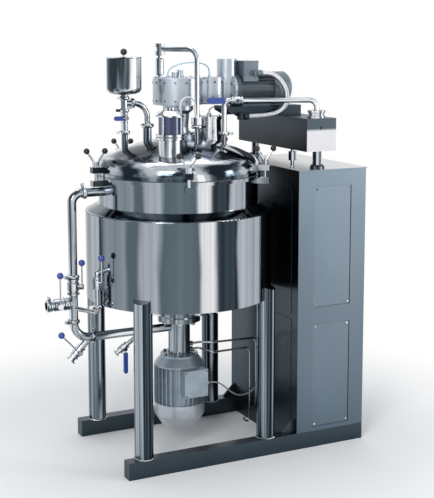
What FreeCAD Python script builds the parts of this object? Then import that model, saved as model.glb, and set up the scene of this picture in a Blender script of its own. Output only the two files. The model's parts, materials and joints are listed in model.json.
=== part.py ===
import FreeCAD, Part
import math
import os
import Sketcher
from FreeCAD import Placement, Rotation, Vector

# Vacuum emulsifying mixer on a skid: a jacketed pot on four legs, a lifting lid that
# carries the stirrer drive, a bottom homogenizer with its circulation line, and the
# cabinet that holds the lift. Origin: on the floor, in the middle of the machine.
# +X from the pot towards the cabinet, -Y is the operator's side, +Z up. Millimetres.
# Places in X are counted from the pot axis, and heights from the floor.

SIZES = [
    ("vessel_x", -108.5, "pot axis, from the middle of the machine"),
    ("gap", 0.3, "clearance between pieces that only touch"),
    ("running_gap", 0.08, "radial clearance of a shaft or a spindle in its bush"),
    ("skid_reach", 504, "skid end beyond the pot axis"),
    ("skid_tall", 100, "skid tube"),
    ("skid_wide", 76, "skid tube"),
    ("skid_wall", 4, "skid tube wall"),
    ("base_half", 429, "half the depth over the skids and the cabinet"),
    ("gusset_side", 80, "gusset plate"),
    ("gusset_thick", 8, "gusset plate"),
    ("leg_radius", 54, "leg tube"),
    ("leg_wall", 3, "leg tube"),
    ("leg_x", 391, "leg axis"),
    ("leg_top", 1017, "height of the closed leg end, on its axis"),
    ("leg_slope", 20, "slope of the closed leg end, degrees"),
    ("cabinet_near", 577, "cabinet side nearest the pot"),
    ("cabinet_wide", 464, "cabinet along X"),
    ("cabinet_top", 1683, "underside of the cabinet's top plate"),
    ("cabinet_wall", 3, "cabinet sheet"),
    ("plate_thick", 6, "cabinet top plate"),
    ("plate_lip", 5, "overhang of the cabinet top plate"),
    ("panel_near", 108, "access panel's edge from the cabinet's near side"),
    ("panel_wide", 254, "access panel"),
    ("panel_frame", 14, "frame behind the edge of an access panel"),
    ("upper_panel_low", 864, "lower edge of the upper panel"),
    ("upper_panel_high", 1588, "upper edge of the upper panel"),
    ("lower_panel_low", 126, "lower edge of the lower panel"),
    ("lower_panel_high", 760, "upper edge of the lower panel"),
    ("panel_thick", 3, "access panel"),
    ("panel_set_back", 4, "how deep the panels sit in the front"),
    ("pot_radius", 472, "outside of the pot"),
    ("pot_wall", 6, "pot sheet"),
    ("pot_bottom", 830, "lowest point of the dished bottom"),
    ("pot_crown", 944, "crown radius of the dished bottom"),
    ("pot_knuckle", 94, "knuckle radius of the dished bottom"),
    ("pot_seal", 1666, "sealing face of the pot flange"),
    ("flange_radius", 488, "pot and lid flanges"),
    ("flange_tall", 19, "pot and lid flanges"),
    ("throat_radius", 92, "opening in the bottom of the pot"),
    ("bottom_flange", 129, "flanges between the pot and the homogenizer"),
    ("bottom_flange_tall", 29, "flanges between the pot and the homogenizer"),
    ("gasket_thick", 5, "lid gasket"),
    ("jacket_radius", 552, "outside of the insulation jacket"),
    ("jacket_sheet", 3, "jacket sheet"),
    ("jacket_low", 942, "lower edge of the jacket's side"),
    ("jacket_high", 1458, "upper edge of the jacket's side"),
    ("jacket_shoulder", 1492, "top of the sloping shoulder"),
    ("jacket_floor", 812, "jacket floor beside the homogenizer"),
    ("jacket_inner", 150, "jacket floor's inner edge"),
    ("clamp_circle", 517, "clamp spindles' circle about the pot axis"),
    ("clamp_start", 36, "direction of the first lid clamp, degrees"),
    ("lug_wide", 46, "clamp lug"),
    ("lug_tall", 34, "clamp lug"),
    ("lug_reach", 545, "clamp lug's end from the pot axis"),
    ("spindle_radius", 10, "clamp spindle"),
    ("clamp_ball", 17.5, "black clamp ball"),
    ("lid_radius", 480, "outside of the lid dish"),
    ("lid_wall", 6, "lid sheet"),
    ("lid_crown", 960, "crown radius of the lid dish"),
    ("lid_knuckle", 96, "knuckle radius of the lid dish"),
    ("drum_radius", 148, "planetary drum"),
    ("drum_low", 2066, "underside of the drum"),
    ("drum_high", 2226, "top of the drum"),
    ("pedestal_radius", 66, "pedestal between the lid and the drum"),
    ("gear_x", 218, "round gear neck beside the drum"),
    ("gear_radius", 78, "round gear neck beside the drum"),
    ("upright_x", 322, "upright gear column"),
    ("upright_radius", 60, "upright gear column"),
    ("upright_top", 2331, "upright gear column"),
    ("motor_near", 346, "stirrer motor's flange"),
    ("motor_axis", 2152, "stirrer motor axis"),
    ("motor_core", 88, "stirrer motor without fins"),
    ("motor_fin", 12, "stirrer motor's fin height"),
    ("motor_length", 270, "stirrer motor without its fan cowl"),
    ("cowl_length", 108, "stirrer motor's fan cowl"),
    ("bracket_top", 2050, "motor bracket's top face"),
    ("bracket_half", 100, "half the width of the motor bracket"),
    ("bracket_plate", 16, "motor bracket plate"),
    ("beam_near", 627, "crossbeam side nearest the pot"),
    ("beam_wide", 198, "crossbeam"),
    ("beam_low", 1797, "crossbeam"),
    ("beam_high", 1990, "crossbeam"),
    ("beam_wall", 6, "crossbeam"),
    ("column_radius", 29, "lift column"),
    ("column_y", 382, "lift column from the middle"),
    ("column_foot", 240, "lower end of the lift columns, at rest"),
    ("bush_wall", 9, "column bush"),
    ("rod_radius", 13, "lift guide rod"),
    ("rod_x", 640, "lift guide rod"),
    ("rod_y", -240, "lift guide rod"),
    ("hollow_shaft", 34, "stirrer's hollow shaft"),
    ("inner_shaft", 22, "paddle shaft"),
    ("anchor_clear", 14, "space between the anchor and the pot wall"),
    ("anchor_band", 46, "width of the anchor's bars"),
    ("anchor_thick", 16, "anchor bars"),
    ("anchor_high", 1590, "top of the anchor frame"),
    ("anchor_bridge", 950, "top of the anchor's raised middle"),
    ("scraper_clear", 3, "space between the scrapers and the pot wall"),
    ("paddle_reach", 150, "paddles' ends from the axis"),
    ("neck_radius", 66, "homogenizer neck"),
    ("neck_low", 566, "homogenizer neck's lower end"),
    ("chamber_radius", 56, "pumping chamber"),
    ("chamber_low", 701, "pumping chamber's floor"),
    ("stator_bore", 58, "stator ring"),
    ("stator_wall", 14, "stator ring"),
    ("stator_tall", 85, "stator ring"),
    ("rotor_shaft", 15, "homogenizer shaft"),
    ("mixer_core", 135, "homogenizer motor without fins"),
    ("mixer_fin", 18, "homogenizer motor's fin height"),
    ("mixer_fin_low", 272, "lower end of the fins"),
    ("mixer_fin_high", 501, "upper end of the fins"),
    ("mixer_low", 133, "bottom of the homogenizer motor's fan cowl"),
    ("pipe_radius", 25.5, "two-inch sanitary pipe"),
    ("pipe_bore", 23.9, "two-inch sanitary pipe"),
    ("riser_x", -666, "circulation riser"),
    ("lower_run", 733, "axis of the lower circulation pipe"),
    ("upper_run", 1581, "axis of the upper circulation nozzle"),
    ("circulation_valve", 1042, "circulation valve's centre"),
    ("branch_height", 943, "side branch's axis"),
    ("branch_x", -761, "branch valve's centre"),
    ("small_pipe", 20, "discharge pipe"),
    ("thin_pipe", 13, "jacket pipes"),
    ("seal_tube", 6.5, "seal water tubes"),
    ("ferrule", 37, "outside of a two-inch pipe clamp"),
    ("clamp_tall", 22, "pipe clamp"),
    ("hopper_x", -339, "charge hopper"),
    ("hopper_radius", 101, "charge hopper"),
    ("hopper_low", 2130, "bottom of the hopper cup"),
    ("hopper_rim", 2345, "charge hopper's rim"),
    ("hopper_wall", 2, "hopper sheet"),
    ("hopper_neck", 19, "hopper neck pipe"),
    ("short_nozzle_x", -197, "nozzle under the hopper's side elbow"),
    ("sight_x", -172, "sight glass"),
    ("sight_y", -270, "sight glass"),
    ("sight_radius", 80, "sight glass frame"),
    ("sight_low", 1922, "sight glass's lower edge"),
    ("sight_high", 2020, "sight glass's upper edge"),
    ("lamp_x", 222, "lamp housing"),
    ("lamp_y", 40, "lamp housing"),
    ("vent_x", 33, "vent pipe"),
    ("vent_y", -190, "vent pipe"),
    ("vent_pipe", 14.5, "vent pipe"),
    ("vent_high", 2392, "axis of the vent pipe's level part"),
    ("filter_x", -104, "air filter on the drum"),
    ("filter_y", 28, "air filter on the drum"),
    ("vacuum_x", 228, "vacuum pipe's nozzle"),
    ("vacuum_y", -150, "vacuum pipe's nozzle"),
    ("vacuum_high", 2094, "axis of the vacuum pipe's level part"),
    ("vacuum_pipe", 15, "vacuum pipe"),
    ("hub_x", 726, "clamp hub on the crossbeam"),
    ("hub_y", -370, "clamp hub on the crossbeam"),
    ("valve_ball", 19, "blue lever ball"),
]

CLAMPS = 5
UP = Vector(0, 0, 1)
DOWN = Vector(0, 0, -1)
ALONG_X = Vector(1, 0, 0)
ALONG_Y = Vector(0, 1, 0)
BACK_X = Vector(-1, 0, 0)
FRONT = Vector(0, -1, 0)
NO_TURN = Rotation()

# Joints and valves along the pipes, from the pot axis and the floor
HOPPER_JOINT = 1916
ELBOW_JOINT = 1951
VENT_JOINT = 1949
VACUUM_JOINT = 1900
HOPPER_VALVE = 2000
HOPPER_VALVE_SCALE = 0.62
VACUUM_VALVE_SCALE = 0.68
RISER_JOINT = 836
INLET_JOINT = -552
VALVE_HALF = 46
VALVE_STEM = 46
RISER_STEM = Vector(0.766, -0.643, 0)
DISCHARGE = Vector(-0.7, 0, -0.714).normalize()
DISCHARGE_X = -568
DISCHARGE_STUB = 74
DISCHARGE_SCALE = 0.8
JACKET_VALVE = (-582, -162, 1088)
JACKET_VALVE_SCALE = 0.72
JACKET_STEM = Vector(0.342, -0.94, 0)
DRAIN_VALVE = Vector(-462, -252, 720)
DRAIN_BEND = Vector(-352, -252, 792)
DRAIN = (DRAIN_VALVE - DRAIN_BEND).normalize()
DRAIN_SCALE = 0.6
SEAL_TUBE_HIGH = 618
SEAL_TUBE_LOW = 584

# Cords, from the pot axis and the floor
BOX_FRONT = -95
HOSE_START = (-90, -55)
HOSE_END = (180, -50)
CONDUIT = [
    (494, -116, 2247), (520, -116, 2247), (552, -119, 2244), (586, -124, 2230), (618, -130, 2204),
    (642, -135, 2169), (656, -139, 2128), (657, -142, 2086), (642, -144, 2048), (612, -145, 2021),
    (572, -145, 2005), (526, -144, 1998), (478, -143, 1995), (432, -142, 1994), (392, -142, 1994),
]
MIXER_CABLE = [
    (108, -182, 415), (140, -182, 415), (178, -178, 403), (216, -170, 376), (256, -158, 340), (300, -144, 306),
    (350, -128, 284), (404, -112, 280), (454, -98, 293), (500, -76, 315), (532, -50, 330), (563, -50, 330),
]
SIGHT_CABLE = [
    (-120, -292, 2060), (-120, -292, 2080), (-113, -286, 2100), (-94, -274, 2117), (-66, -259, 2126),
    (-36, -243, 2124), (-9, -228, 2111), (8, -216, 2089), (15, -208, 2062), (16, -207, 2036), (16, -207, 2014),
]


class Size:
    """A number that also knows its formula over the cells of the sheet."""

    def __init__(self, value, text):
        self.value = float(value)
        self.text = text

    def __add__(self, other):
        return Size(self.value + number(other), "(" + self.text + " + " + text_of(other) + ")")

    def __radd__(self, other):
        return Size(number(other) + self.value, "(" + text_of(other) + " + " + self.text + ")")

    def __sub__(self, other):
        return Size(self.value - number(other), "(" + self.text + " - " + text_of(other) + ")")

    def __rsub__(self, other):
        return Size(number(other) - self.value, "(" + text_of(other) + " - " + self.text + ")")

    def __mul__(self, other):
        return Size(self.value * number(other), "(" + self.text + " * " + text_of(other) + ")")

    def __rmul__(self, other):
        return Size(number(other) * self.value, "(" + text_of(other) + " * " + self.text + ")")

    def __truediv__(self, other):
        return Size(self.value / number(other), "(" + self.text + " / " + text_of(other) + ")")

    def __neg__(self):
        return Size(-self.value, "(0 - " + self.text + ")")


def number(size):
    return size.value if isinstance(size, Size) else float(size)


def text_of(size):
    return size.text if isinstance(size, Size) else "({:.6f})".format(float(size))


def sine(degrees):
    return Size(math.sin(math.radians(number(degrees))), "sin(" + text_of(degrees) + " * 1 deg)")


def cosine(degrees):
    return Size(math.cos(math.radians(number(degrees))), "cos(" + text_of(degrees) + " * 1 deg)")


def square_root(size):
    return Size(math.sqrt(number(size)), "sqrt(" + text_of(size) + ")")


class Sizes:
    """The named cells of the sheet, as attributes."""

    def __init__(self, cells):
        for row, (alias, value, note) in enumerate(SIZES, start=1):
            cells.set("A{}".format(row), alias)
            cells.set("B{}".format(row), str(value))
            cells.set("C{}".format(row), note)
            cells.setAlias("B{}".format(row), alias)
            setattr(self, alias, Size(value, "sizes." + alias))


os.makedirs("parts", exist_ok=True)
doc = FreeCAD.newDocument("vacuum_emulsifying_mixer")
sheet = doc.addObject("Spreadsheet::Sheet", "sizes")
S = Sizes(sheet)
doc.recompute()
nodes = []


def bind(item, prop, size):
    """Tie one property of an object to its formula."""
    setattr(item, prop, number(size))
    if isinstance(size, Size):
        item.setExpression(prop, size.text)


def place(item, x, y, z, turn=NO_TURN):
    """Put an object where its formulas say, turned as given."""
    item.Placement = Placement(Vector(number(x), number(y), number(z)), turn)
    for axis, size in zip("xyz", (x, y, z)):
        if isinstance(size, Size):
            item.setExpression(".Placement.Base." + axis, size.text)
    return item


def pointing(direction):
    """The turn that brings the Z axis to a direction."""
    return Rotation(UP, Vector(direction))


def heading(degrees):
    return Rotation(UP, number(degrees))


def at_pot(x):
    """X of a place counted from the pot axis."""
    return S.vessel_x + x


def block(name, length, depth, height, x=0, y=0, z=0, turn=NO_TURN):
    item = doc.addObject("Part::Box", name)
    bind(item, "Length", length)
    bind(item, "Width", depth)
    bind(item, "Height", height)
    return place(item, x, y, z, turn)


def disc(name, radius, height, x=0, y=0, z=0, turn=NO_TURN):
    item = doc.addObject("Part::Cylinder", name)
    bind(item, "Radius", radius)
    bind(item, "Height", height)
    return place(item, x, y, z, turn)


def taper(name, low_radius, high_radius, height, x=0, y=0, z=0, turn=NO_TURN):
    item = doc.addObject("Part::Cone", name)
    bind(item, "Radius1", low_radius)
    bind(item, "Radius2", high_radius)
    bind(item, "Height", height)
    return place(item, x, y, z, turn)


def ball(name, radius, x=0, y=0, z=0):
    item = doc.addObject("Part::Sphere", name)
    bind(item, "Radius", radius)
    return place(item, x, y, z)


def fused(name, pieces):
    item = doc.addObject("Part::MultiFuse", name)
    item.Shapes = pieces
    return item


def group(name, pieces):
    """Separate solids that share one node."""
    item = doc.addObject("Part::Compound", name)
    item.Links = pieces
    return item


def cut(name, base, tools):
    item = doc.addObject("Part::Cut", name)
    item.Base = base
    item.Tool = tools[0] if len(tools) == 1 else fused(name + "_tools", tools)
    return item


def tube(name, radius, bore, height, x=0, y=0, z=0, turn=NO_TURN):
    """A straight tube, standing on its placement."""
    wall = disc(name + "_wall", radius, height)
    hole = disc(name + "_bore", bore, height + 2, z=-1)
    return place(cut(name, wall, [hole]), x, y, z, turn)


def closed_tube(name, length, depth, height, wall, x, y, z):
    """A rectangular tube with capped ends."""
    outer = block(name + "_outer", length, depth, height)
    hollow = block(name + "_inner", length - 2 * wall, depth - 2 * wall, height - 2 * wall, wall, wall, wall)
    return place(cut(name, outer, [hollow]), x, y, z)


def node(item, label):
    """Keep an object as one named piece of the machine."""
    item.Label = label
    nodes.append(item)
    return item


def plane_of(body, role):
    return [feature for feature in body.Origin.OriginFeatures if feature.Role == role][0]


def arc_centre(start, end, radius):
    """Centre of the short arc from start to end, on the left of the way if the radius is positive."""
    chord = end - start
    side = Vector(-chord.y, chord.x, 0).normalize()
    rise = math.sqrt(max(radius * radius - chord.Length ** 2 / 4, 0))
    return (start + end) * 0.5 + side * math.copysign(rise, radius)


def outline_sketch(body, name, outline, plane="XZ_Plane"):
    """A closed outline in a plane of the body, every corner bound to its formulas.

    A corner is (x, y), or (x, y, radius) where a short arc ends: the arc's centre lies on
    the left of the way from the last corner if the radius is positive.
    """
    sketch = body.newObject("Sketcher::SketchObject", name)
    sketch.AttachmentSupport = (plane_of(body, plane), [""])
    sketch.MapMode = "FlatFace"
    corners = [Vector(number(corner[0]), number(corner[1]), 0) for corner in outline]
    ends = []
    for index, corner in enumerate(outline):
        start, end = corners[index - 1], corners[index]
        if len(corner) == 2:
            edge = sketch.addGeometry(Part.LineSegment(start, end), False)
            ends.append((edge, 1, 2))
            continue
        radius = number(corner[2])
        centre = arc_centre(start, end, radius)
        first, last = (start, end) if radius > 0 else (end, start)
        angles = [math.atan2(point.y - centre.y, point.x - centre.x) for point in (first, last)]
        circle = Part.Circle(centre, UP, abs(radius))
        edge = sketch.addGeometry(Part.ArcOfCircle(circle, angles[0], angles[1]), False)
        ends.append((edge, 1, 2) if radius > 0 else (edge, 2, 1))
        rule = sketch.addConstraint(Sketcher.Constraint("Radius", edge, abs(radius)))
        if isinstance(corner[2], Size):
            size = corner[2] if radius > 0 else -corner[2]
            sketch.setExpression("Constraints[{}]".format(rule), size.text)
    for index, corner in enumerate(outline):
        edge, _, end = ends[index]
        next_edge, next_start, _ = ends[(index + 1) % len(outline)]
        sketch.addConstraint(Sketcher.Constraint("Coincident", edge, end, next_edge, next_start))
        for kind, size, axis in (("DistanceX", corner[0], -2), ("DistanceY", corner[1], -1)):
            if number(size) == 0:
                sketch.addConstraint(Sketcher.Constraint("PointOnObject", edge, end, axis))
                continue
            rule = sketch.addConstraint(Sketcher.Constraint(kind, -1, 1, edge, end, number(size)))
            if isinstance(size, Size):
                sketch.setExpression("Constraints[{}]".format(rule), size.text)
    return sketch


def revolved(name, outline, x=0, y=0, z=0, turn=NO_TURN):
    """A body turned about its own Z axis from an outline of (radius, height) corners."""
    body = doc.addObject("PartDesign::Body", name)
    sketch = outline_sketch(body, name + "_outline", outline)
    turned = body.newObject("PartDesign::Revolution", name + "_turned")
    turned.Profile = sketch
    turned.ReferenceAxis = (sketch, ["V_Axis"])
    turned.Angle = 360
    body.Tip = turned
    return place(body, x, y, z, turn)


def plate(name, outline, thickness, x=0, y=0, z=0, turn=NO_TURN, plane="XZ_Plane"):
    """A body of even thickness from an outline in one of its planes, centred on the plane."""
    body = doc.addObject("PartDesign::Body", name)
    sketch = outline_sketch(body, name + "_outline", outline, plane)
    pad = body.newObject("PartDesign::Pad", name + "_pad")
    pad.Profile = sketch
    pad.Midplane = True
    bind(pad, "Length", thickness)
    body.Tip = pad
    return place(body, x, y, z, turn)


def finned(name, core, fin_height, fin_wide, length, count, x=0, y=0, z=0, turn=NO_TURN):
    """A round motor housing with lengthwise fins, one fin patterned about the axis."""
    body = doc.addObject("PartDesign::Body", name)
    circle = body.newObject("Sketcher::SketchObject", name + "_core")
    circle.AttachmentSupport = (plane_of(body, "XY_Plane"), [""])
    circle.MapMode = "FlatFace"
    circle.addGeometry(Part.Circle(Vector(), UP, number(core)), False)
    circle.addConstraint(Sketcher.Constraint("Coincident", 0, 3, -1, 1))
    rule = circle.addConstraint(Sketcher.Constraint("Radius", 0, number(core)))
    circle.setExpression("Constraints[{}]".format(rule), text_of(core))
    pad = body.newObject("PartDesign::Pad", name + "_core_pad")
    pad.Profile = circle
    bind(pad, "Length", length)
    foot, tip, half = core - 3, core + fin_height, fin_wide / 2
    outline = [(foot, -half), (tip, -half), (tip, half), (foot, half)]
    sketch = outline_sketch(body, name + "_fin", outline, "XY_Plane")
    fin = body.newObject("PartDesign::Pad", name + "_fin_pad")
    fin.Profile = sketch
    bind(fin, "Length", length)
    pattern = body.newObject("PartDesign::PolarPattern", name + "_fins")
    pattern.Originals = [fin]
    pattern.Axis = (sketch, ["N_Axis"])
    pattern.Angle = 360
    pattern.Occurrences = count
    body.Tip = pattern
    return place(body, x, y, z, turn)


def vector_of(point):
    return Vector(*[number(value) for value in point])


def path_of(points, bends):
    """Straight runs joined by tangent arcs. bends is one radius, or one for each inner point."""
    spots = [vector_of(point) for point in points]
    inner = len(spots) - 2
    radii = [number(bend) for bend in bends] if isinstance(bends, list) else [number(bends)] * inner
    edges = []
    start = spots[0]
    for index in range(1, len(spots) - 1):
        before = (spots[index - 1] - spots[index]).normalize()
        after = (spots[index + 1] - spots[index]).normalize()
        half_turn = (math.pi - before.getAngle(after)) / 2
        back = radii[index - 1] * math.tan(half_turn)
        first, last = spots[index] + before * back, spots[index] + after * back
        inward = (before + after).normalize()
        centre = spots[index] + inward * (radii[index - 1] / math.cos(half_turn))
        edges.append(Part.LineSegment(start, first).toShape())
        edges.append(Part.Arc(first, centre - inward * radii[index - 1], last).toShape())
        start = last
    edges.append(Part.LineSegment(start, spots[-1]).toShape())
    return Part.Wire(edges)


def swept(name, path, radius):
    """A round bar along a path, its section bound to the sheet."""
    spine = doc.addObject("Part::Feature", name + "_path")
    spine.Shape = path
    section = doc.addObject("Part::Circle", name + "_section")
    bind(section, "Radius", radius)
    first = path.Edges[0]
    section.Placement = Placement(first.Vertexes[0].Point, pointing(first.tangentAt(first.FirstParameter)))
    item = doc.addObject("Part::Sweep", name)
    item.Sections = [section]
    item.Spine = (spine, ["Edge{}".format(edge + 1) for edge in range(len(path.Edges))])
    item.Solid = True
    item.Frenet = False
    return item


def pipe(name, points, bends, radius, bore=None):
    """A bent pipe. With a bore, it is open at both ends."""
    path = path_of(points, bends)
    if bore is None:
        return swept(name, path, radius)
    return cut(name, swept(name + "_wall", path, radius), [swept(name + "_bore", path, bore)])


def cord(name, points, radius):
    """A cord that hangs free: each arc is as large as its two runs allow."""
    spots = [vector_of(point) for point in points]
    radii = []
    for before, here, after in zip(spots, spots[1:], spots[2:]):
        half_turn = (math.pi - (before - here).getAngle(after - here)) / 2
        radii.append(0.45 * min((before - here).Length, (after - here).Length) / math.tan(half_turn))
    path = path_of(points, radii)
    print("{}: {:.0f} mm long, radii {}".format(name, path.Length, [round(value) for value in radii]))
    return node(swept(name, path, radius), name)


def pipe_clamp(name, x, y, z, bore, ring=None, turn=NO_TURN, wing=0):
    """A hinged clamp ring round a pipe joint, with its ear and wing nut on one side."""
    outer = S.ferrule if ring is None else ring
    half = S.clamp_tall / 2
    hole = bore + S.gap
    body = revolved(name + "_ring", [(hole, -half), (outer - 5, -half), (outer, -half / 3), (outer, half / 3),
                                     (outer - 5, half), (hole, half)])
    ear = block(name + "_ear", 24, 14, 16, outer - 4, -7, -8)
    nut = disc(name + "_nut", 8, 26, outer + 12, 13, 0, pointing(FRONT))
    return place(fused(name, [body, ear, nut]), x, y, z, turn.multiply(heading(wing)))


def ball_valve(name, centre, bore, scale, along=UP, stem=FRONT):
    """A three-piece ball valve: two flanged ends, a round middle and a stem boss."""
    end, waist, middle = 36 * scale, 29 * scale, 35 * scale
    outline = [
        (bore, -VALVE_HALF * scale), (end, -VALVE_HALF * scale), (end, -38 * scale), (waist, -34 * scale),
        (waist, -26 * scale), (middle, -22 * scale), (middle, 22 * scale), (waist, 26 * scale),
        (waist, 34 * scale), (end, 38 * scale), (end, VALVE_HALF * scale), (bore, VALVE_HALF * scale),
    ]
    body = revolved(name + "_body", outline, centre[0], centre[1], centre[2], pointing(along))
    out = Vector(stem).normalize()
    start = 31 * scale
    boss = disc(name + "_boss", 14 * scale, VALVE_STEM * scale - start, centre[0] + out.x * start,
                centre[1] + out.y * start, centre[2] + out.z * start, pointing(out))
    return fused(name, [body, boss])


def facing(along, out):
    """The turn that brings X to one direction and Z to another, square to it."""
    return Rotation(along, out.cross(along), out, "ZXY")


def valve_lever(name, centre, scale, stem, arm, reach, sleeve=None):
    """A valve lever on its stem: a hub, a bar and a ball, or a flat sleeve in place of the ball."""
    out = Vector(stem).normalize()
    along = Vector(arm).normalize()
    start = VALVE_STEM * scale + number(S.gap)
    hub = disc(name + "_hub", 13 * scale + 3, 15)
    bar = disc(name + "_bar", 4.5, reach - 6, 4, 0, 8, pointing(ALONG_X))
    pieces = [hub, bar]
    if sleeve is None:
        pieces.append(ball(name + "_ball", S.valve_ball, reach, 0, 8))
    else:
        length, width = sleeve
        end = reach - width / 2
        pieces.append(block(name + "_sleeve", length - width / 2, width, 12, end - length + width / 2,
                            -width / 2, 2))
        pieces.append(disc(name + "_sleeve_end", width / 2, 12, end, 0, 2))
    item = place(fused(name, pieces), centre[0] + out.x * start, centre[1] + out.y * start,
                 centre[2] + out.z * start, facing(along, out))
    return node(item, name)


# Base


def make_base():
    length = S.skid_reach + S.cabinet_near + S.cabinet_wide
    for name, y in (("skid_front", -S.base_half), ("skid_rear", S.base_half - S.skid_wide)):
        skid = closed_tube(name, length, S.skid_wide, S.skid_tall, S.skid_wall, at_pot(-S.skid_reach), y, 0)
        node(skid, name)
    inner_half = S.base_half - S.skid_wide
    pieces = []
    for name, x in (("near", S.cabinet_near), ("far", S.cabinet_near + S.cabinet_wide - S.skid_wide)):
        pieces.append(closed_tube("member_" + name, S.skid_wide, 2 * inner_half, S.skid_tall, S.skid_wall,
                                  at_pot(x), -inner_half, 0))
    side = S.gusset_side
    middle = S.base_half - S.skid_wide / 2
    outline = [(0, 0), (0, side), (-side / 8, side), (-side, side / 8), (-side, 0)]
    for name, y in (("front", -middle), ("rear", middle)):
        pieces.append(plate("gusset_" + name, outline, S.gusset_thick, at_pot(S.cabinet_near), y, S.skid_tall))
    node(group("cross_members", pieces), "cross_members")


def make_legs(jacket_space):
    leg_y = S.base_half - S.leg_radius
    tall = S.leg_top - S.skid_tall
    legs = []
    for name, side_x, side_y in (("front_left", -1, -1), ("front_right", 1, -1),
                                 ("rear_left", -1, 1), ("rear_right", 1, 1)):
        outer = disc("leg_outer_" + name, S.leg_radius, tall + S.leg_radius)
        hollow = disc("leg_inner_" + name, S.leg_radius - S.leg_wall, tall - S.leg_radius, z=S.leg_wall)
        turn = heading(math.degrees(math.atan2(side_y, side_x))).multiply(Rotation(ALONG_Y, number(S.leg_slope)))
        corner = turn.multVec(Vector(-2, -2, 0))
        above = block("leg_slope_" + name, 4 * S.leg_radius, 4 * S.leg_radius, 2 * S.leg_radius,
                      corner.x * S.leg_radius, corner.y * S.leg_radius, tall + corner.z * S.leg_radius, turn)
        leg = place(cut("leg_mitred_" + name, outer, [hollow, above]), at_pot(side_x * S.leg_x),
                    side_y * leg_y, S.skid_tall)
        legs.append(cut("leg_" + name, leg, [jacket_space]))
    node(group("legs", legs), "legs")


# Cabinet


def make_cabinet():
    tall = S.cabinet_top - S.skid_tall
    wide, deep, wall = S.cabinet_wide, 2 * S.base_half, S.cabinet_wall
    lip, frame, depth = S.plate_lip, S.panel_frame, S.panel_set_back + S.panel_thick
    column_x = S.beam_near - S.cabinet_near + S.beam_wide / 2
    outer = block("cabinet_outer", wide, deep, tall)
    hollow = block("cabinet_inner", wide - 2 * wall, deep - 2 * wall, tall + wall, wall, wall, -wall)
    top = block("cabinet_plate", wide + 2 * lip, deep + 2 * lip, S.plate_thick, -lip, -lip, tall)
    gland_x, gland_y, gland_z = MIXER_CABLE[-1]
    gland = disc("cabinet_gland", 11, S.cabinet_near + wall - gland_x, wall, S.base_half + gland_y,
                 gland_z - S.skid_tall, pointing(BACK_X))
    adds = [cut("cabinet_walls", outer, [hollow]), top, gland]
    holes = []
    panels = []
    for name, low, high in (("upper", S.upper_panel_low, S.upper_panel_high),
                            ("lower", S.lower_panel_low, S.lower_panel_high)):
        base = low - S.skid_tall
        seam = 2
        adds.append(block("panel_seat_" + name, S.panel_wide + 2 * frame, depth + wall, high - low + 2 * frame,
                          S.panel_near - frame, 0, base - frame))
        holes.append(block("panel_recess_" + name, S.panel_wide, depth, high - low, S.panel_near, 0, base))
        holes.append(block("panel_opening_" + name, S.panel_wide - 2 * frame, S.base_half,
                           high - low - 2 * frame, S.panel_near + frame, 0, base + frame))
        panels.append(block("panel_" + name, S.panel_wide - 2 * seam, S.panel_thick, high - low - 2 * seam,
                            at_pot(S.cabinet_near + S.panel_near + seam), -S.base_half + S.panel_set_back,
                            low + seam))
    bushes = []
    for name, side in (("front", -1), ("rear", 1)):
        outside = S.column_radius + S.bush_wall
        holes.append(disc("bush_hole_" + name, outside, 3 * S.plate_thick, column_x,
                          S.base_half + side * S.column_y, tall - S.plate_thick))
        sleeve = disc("bush_sleeve_" + name, outside, 76 + S.plate_thick, z=-76)
        collar = disc("bush_collar_" + name, outside + 5, 20, z=S.plate_thick)
        bore = disc("bush_bore_" + name, S.column_radius + S.running_gap, 200, z=-120)
        bush = cut("bush_" + name, fused("bush_body_" + name, [sleeve, collar]), [bore])
        bushes.append(place(bush, at_pot(S.cabinet_near + column_x), side * S.column_y, S.cabinet_top))
    holes.append(disc("rod_hole", S.rod_radius + 3, 3 * S.plate_thick, S.rod_x - S.cabinet_near,
                      S.base_half + S.rod_y, tall - S.plate_thick))
    shell = cut("cabinet_shell", fused("cabinet_framed", adds), holes)
    node(place(shell, at_pot(S.cabinet_near), -S.base_half, S.skid_tall), "cabinet_shell")
    node(group("access_panels", panels), "access_panels")
    node(group("column_bushes", bushes), "column_bushes")


# Pot and jacket


def clamp_place(index):
    angle = S.clamp_start + index * 360 / CLAMPS
    return at_pot(S.clamp_circle * cosine(angle)), S.clamp_circle * sine(angle)


def clamp_lug(name, index, near, low):
    """A lug that points away from the pot axis at one of the clamps."""
    angle = S.clamp_start + index * 360 / CLAMPS
    x = at_pot(near * cosine(angle) + S.lug_wide / 2 * sine(angle))
    y = near * sine(angle) - S.lug_wide / 2 * cosine(angle)
    return block(name, S.lug_reach - near, S.lug_wide, S.lug_tall, x, y, low, heading(angle))


def dish(crown, knuckle, radius, wall=0):
    """Where the crown and the knuckle of a dished end meet, and the end's depth.

    The first two are measured from the axis and from the crown's centre, for the face
    that lies one wall inside the outline.
    """
    share = (radius - knuckle) / (crown - knuckle)
    meet = (crown - wall) * share
    level = square_root((crown - wall) * (crown - wall) - meet * meet)
    run = crown - knuckle
    depth = crown - square_root(run * run - (radius - knuckle) * (radius - knuckle))
    return meet, level, depth


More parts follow.
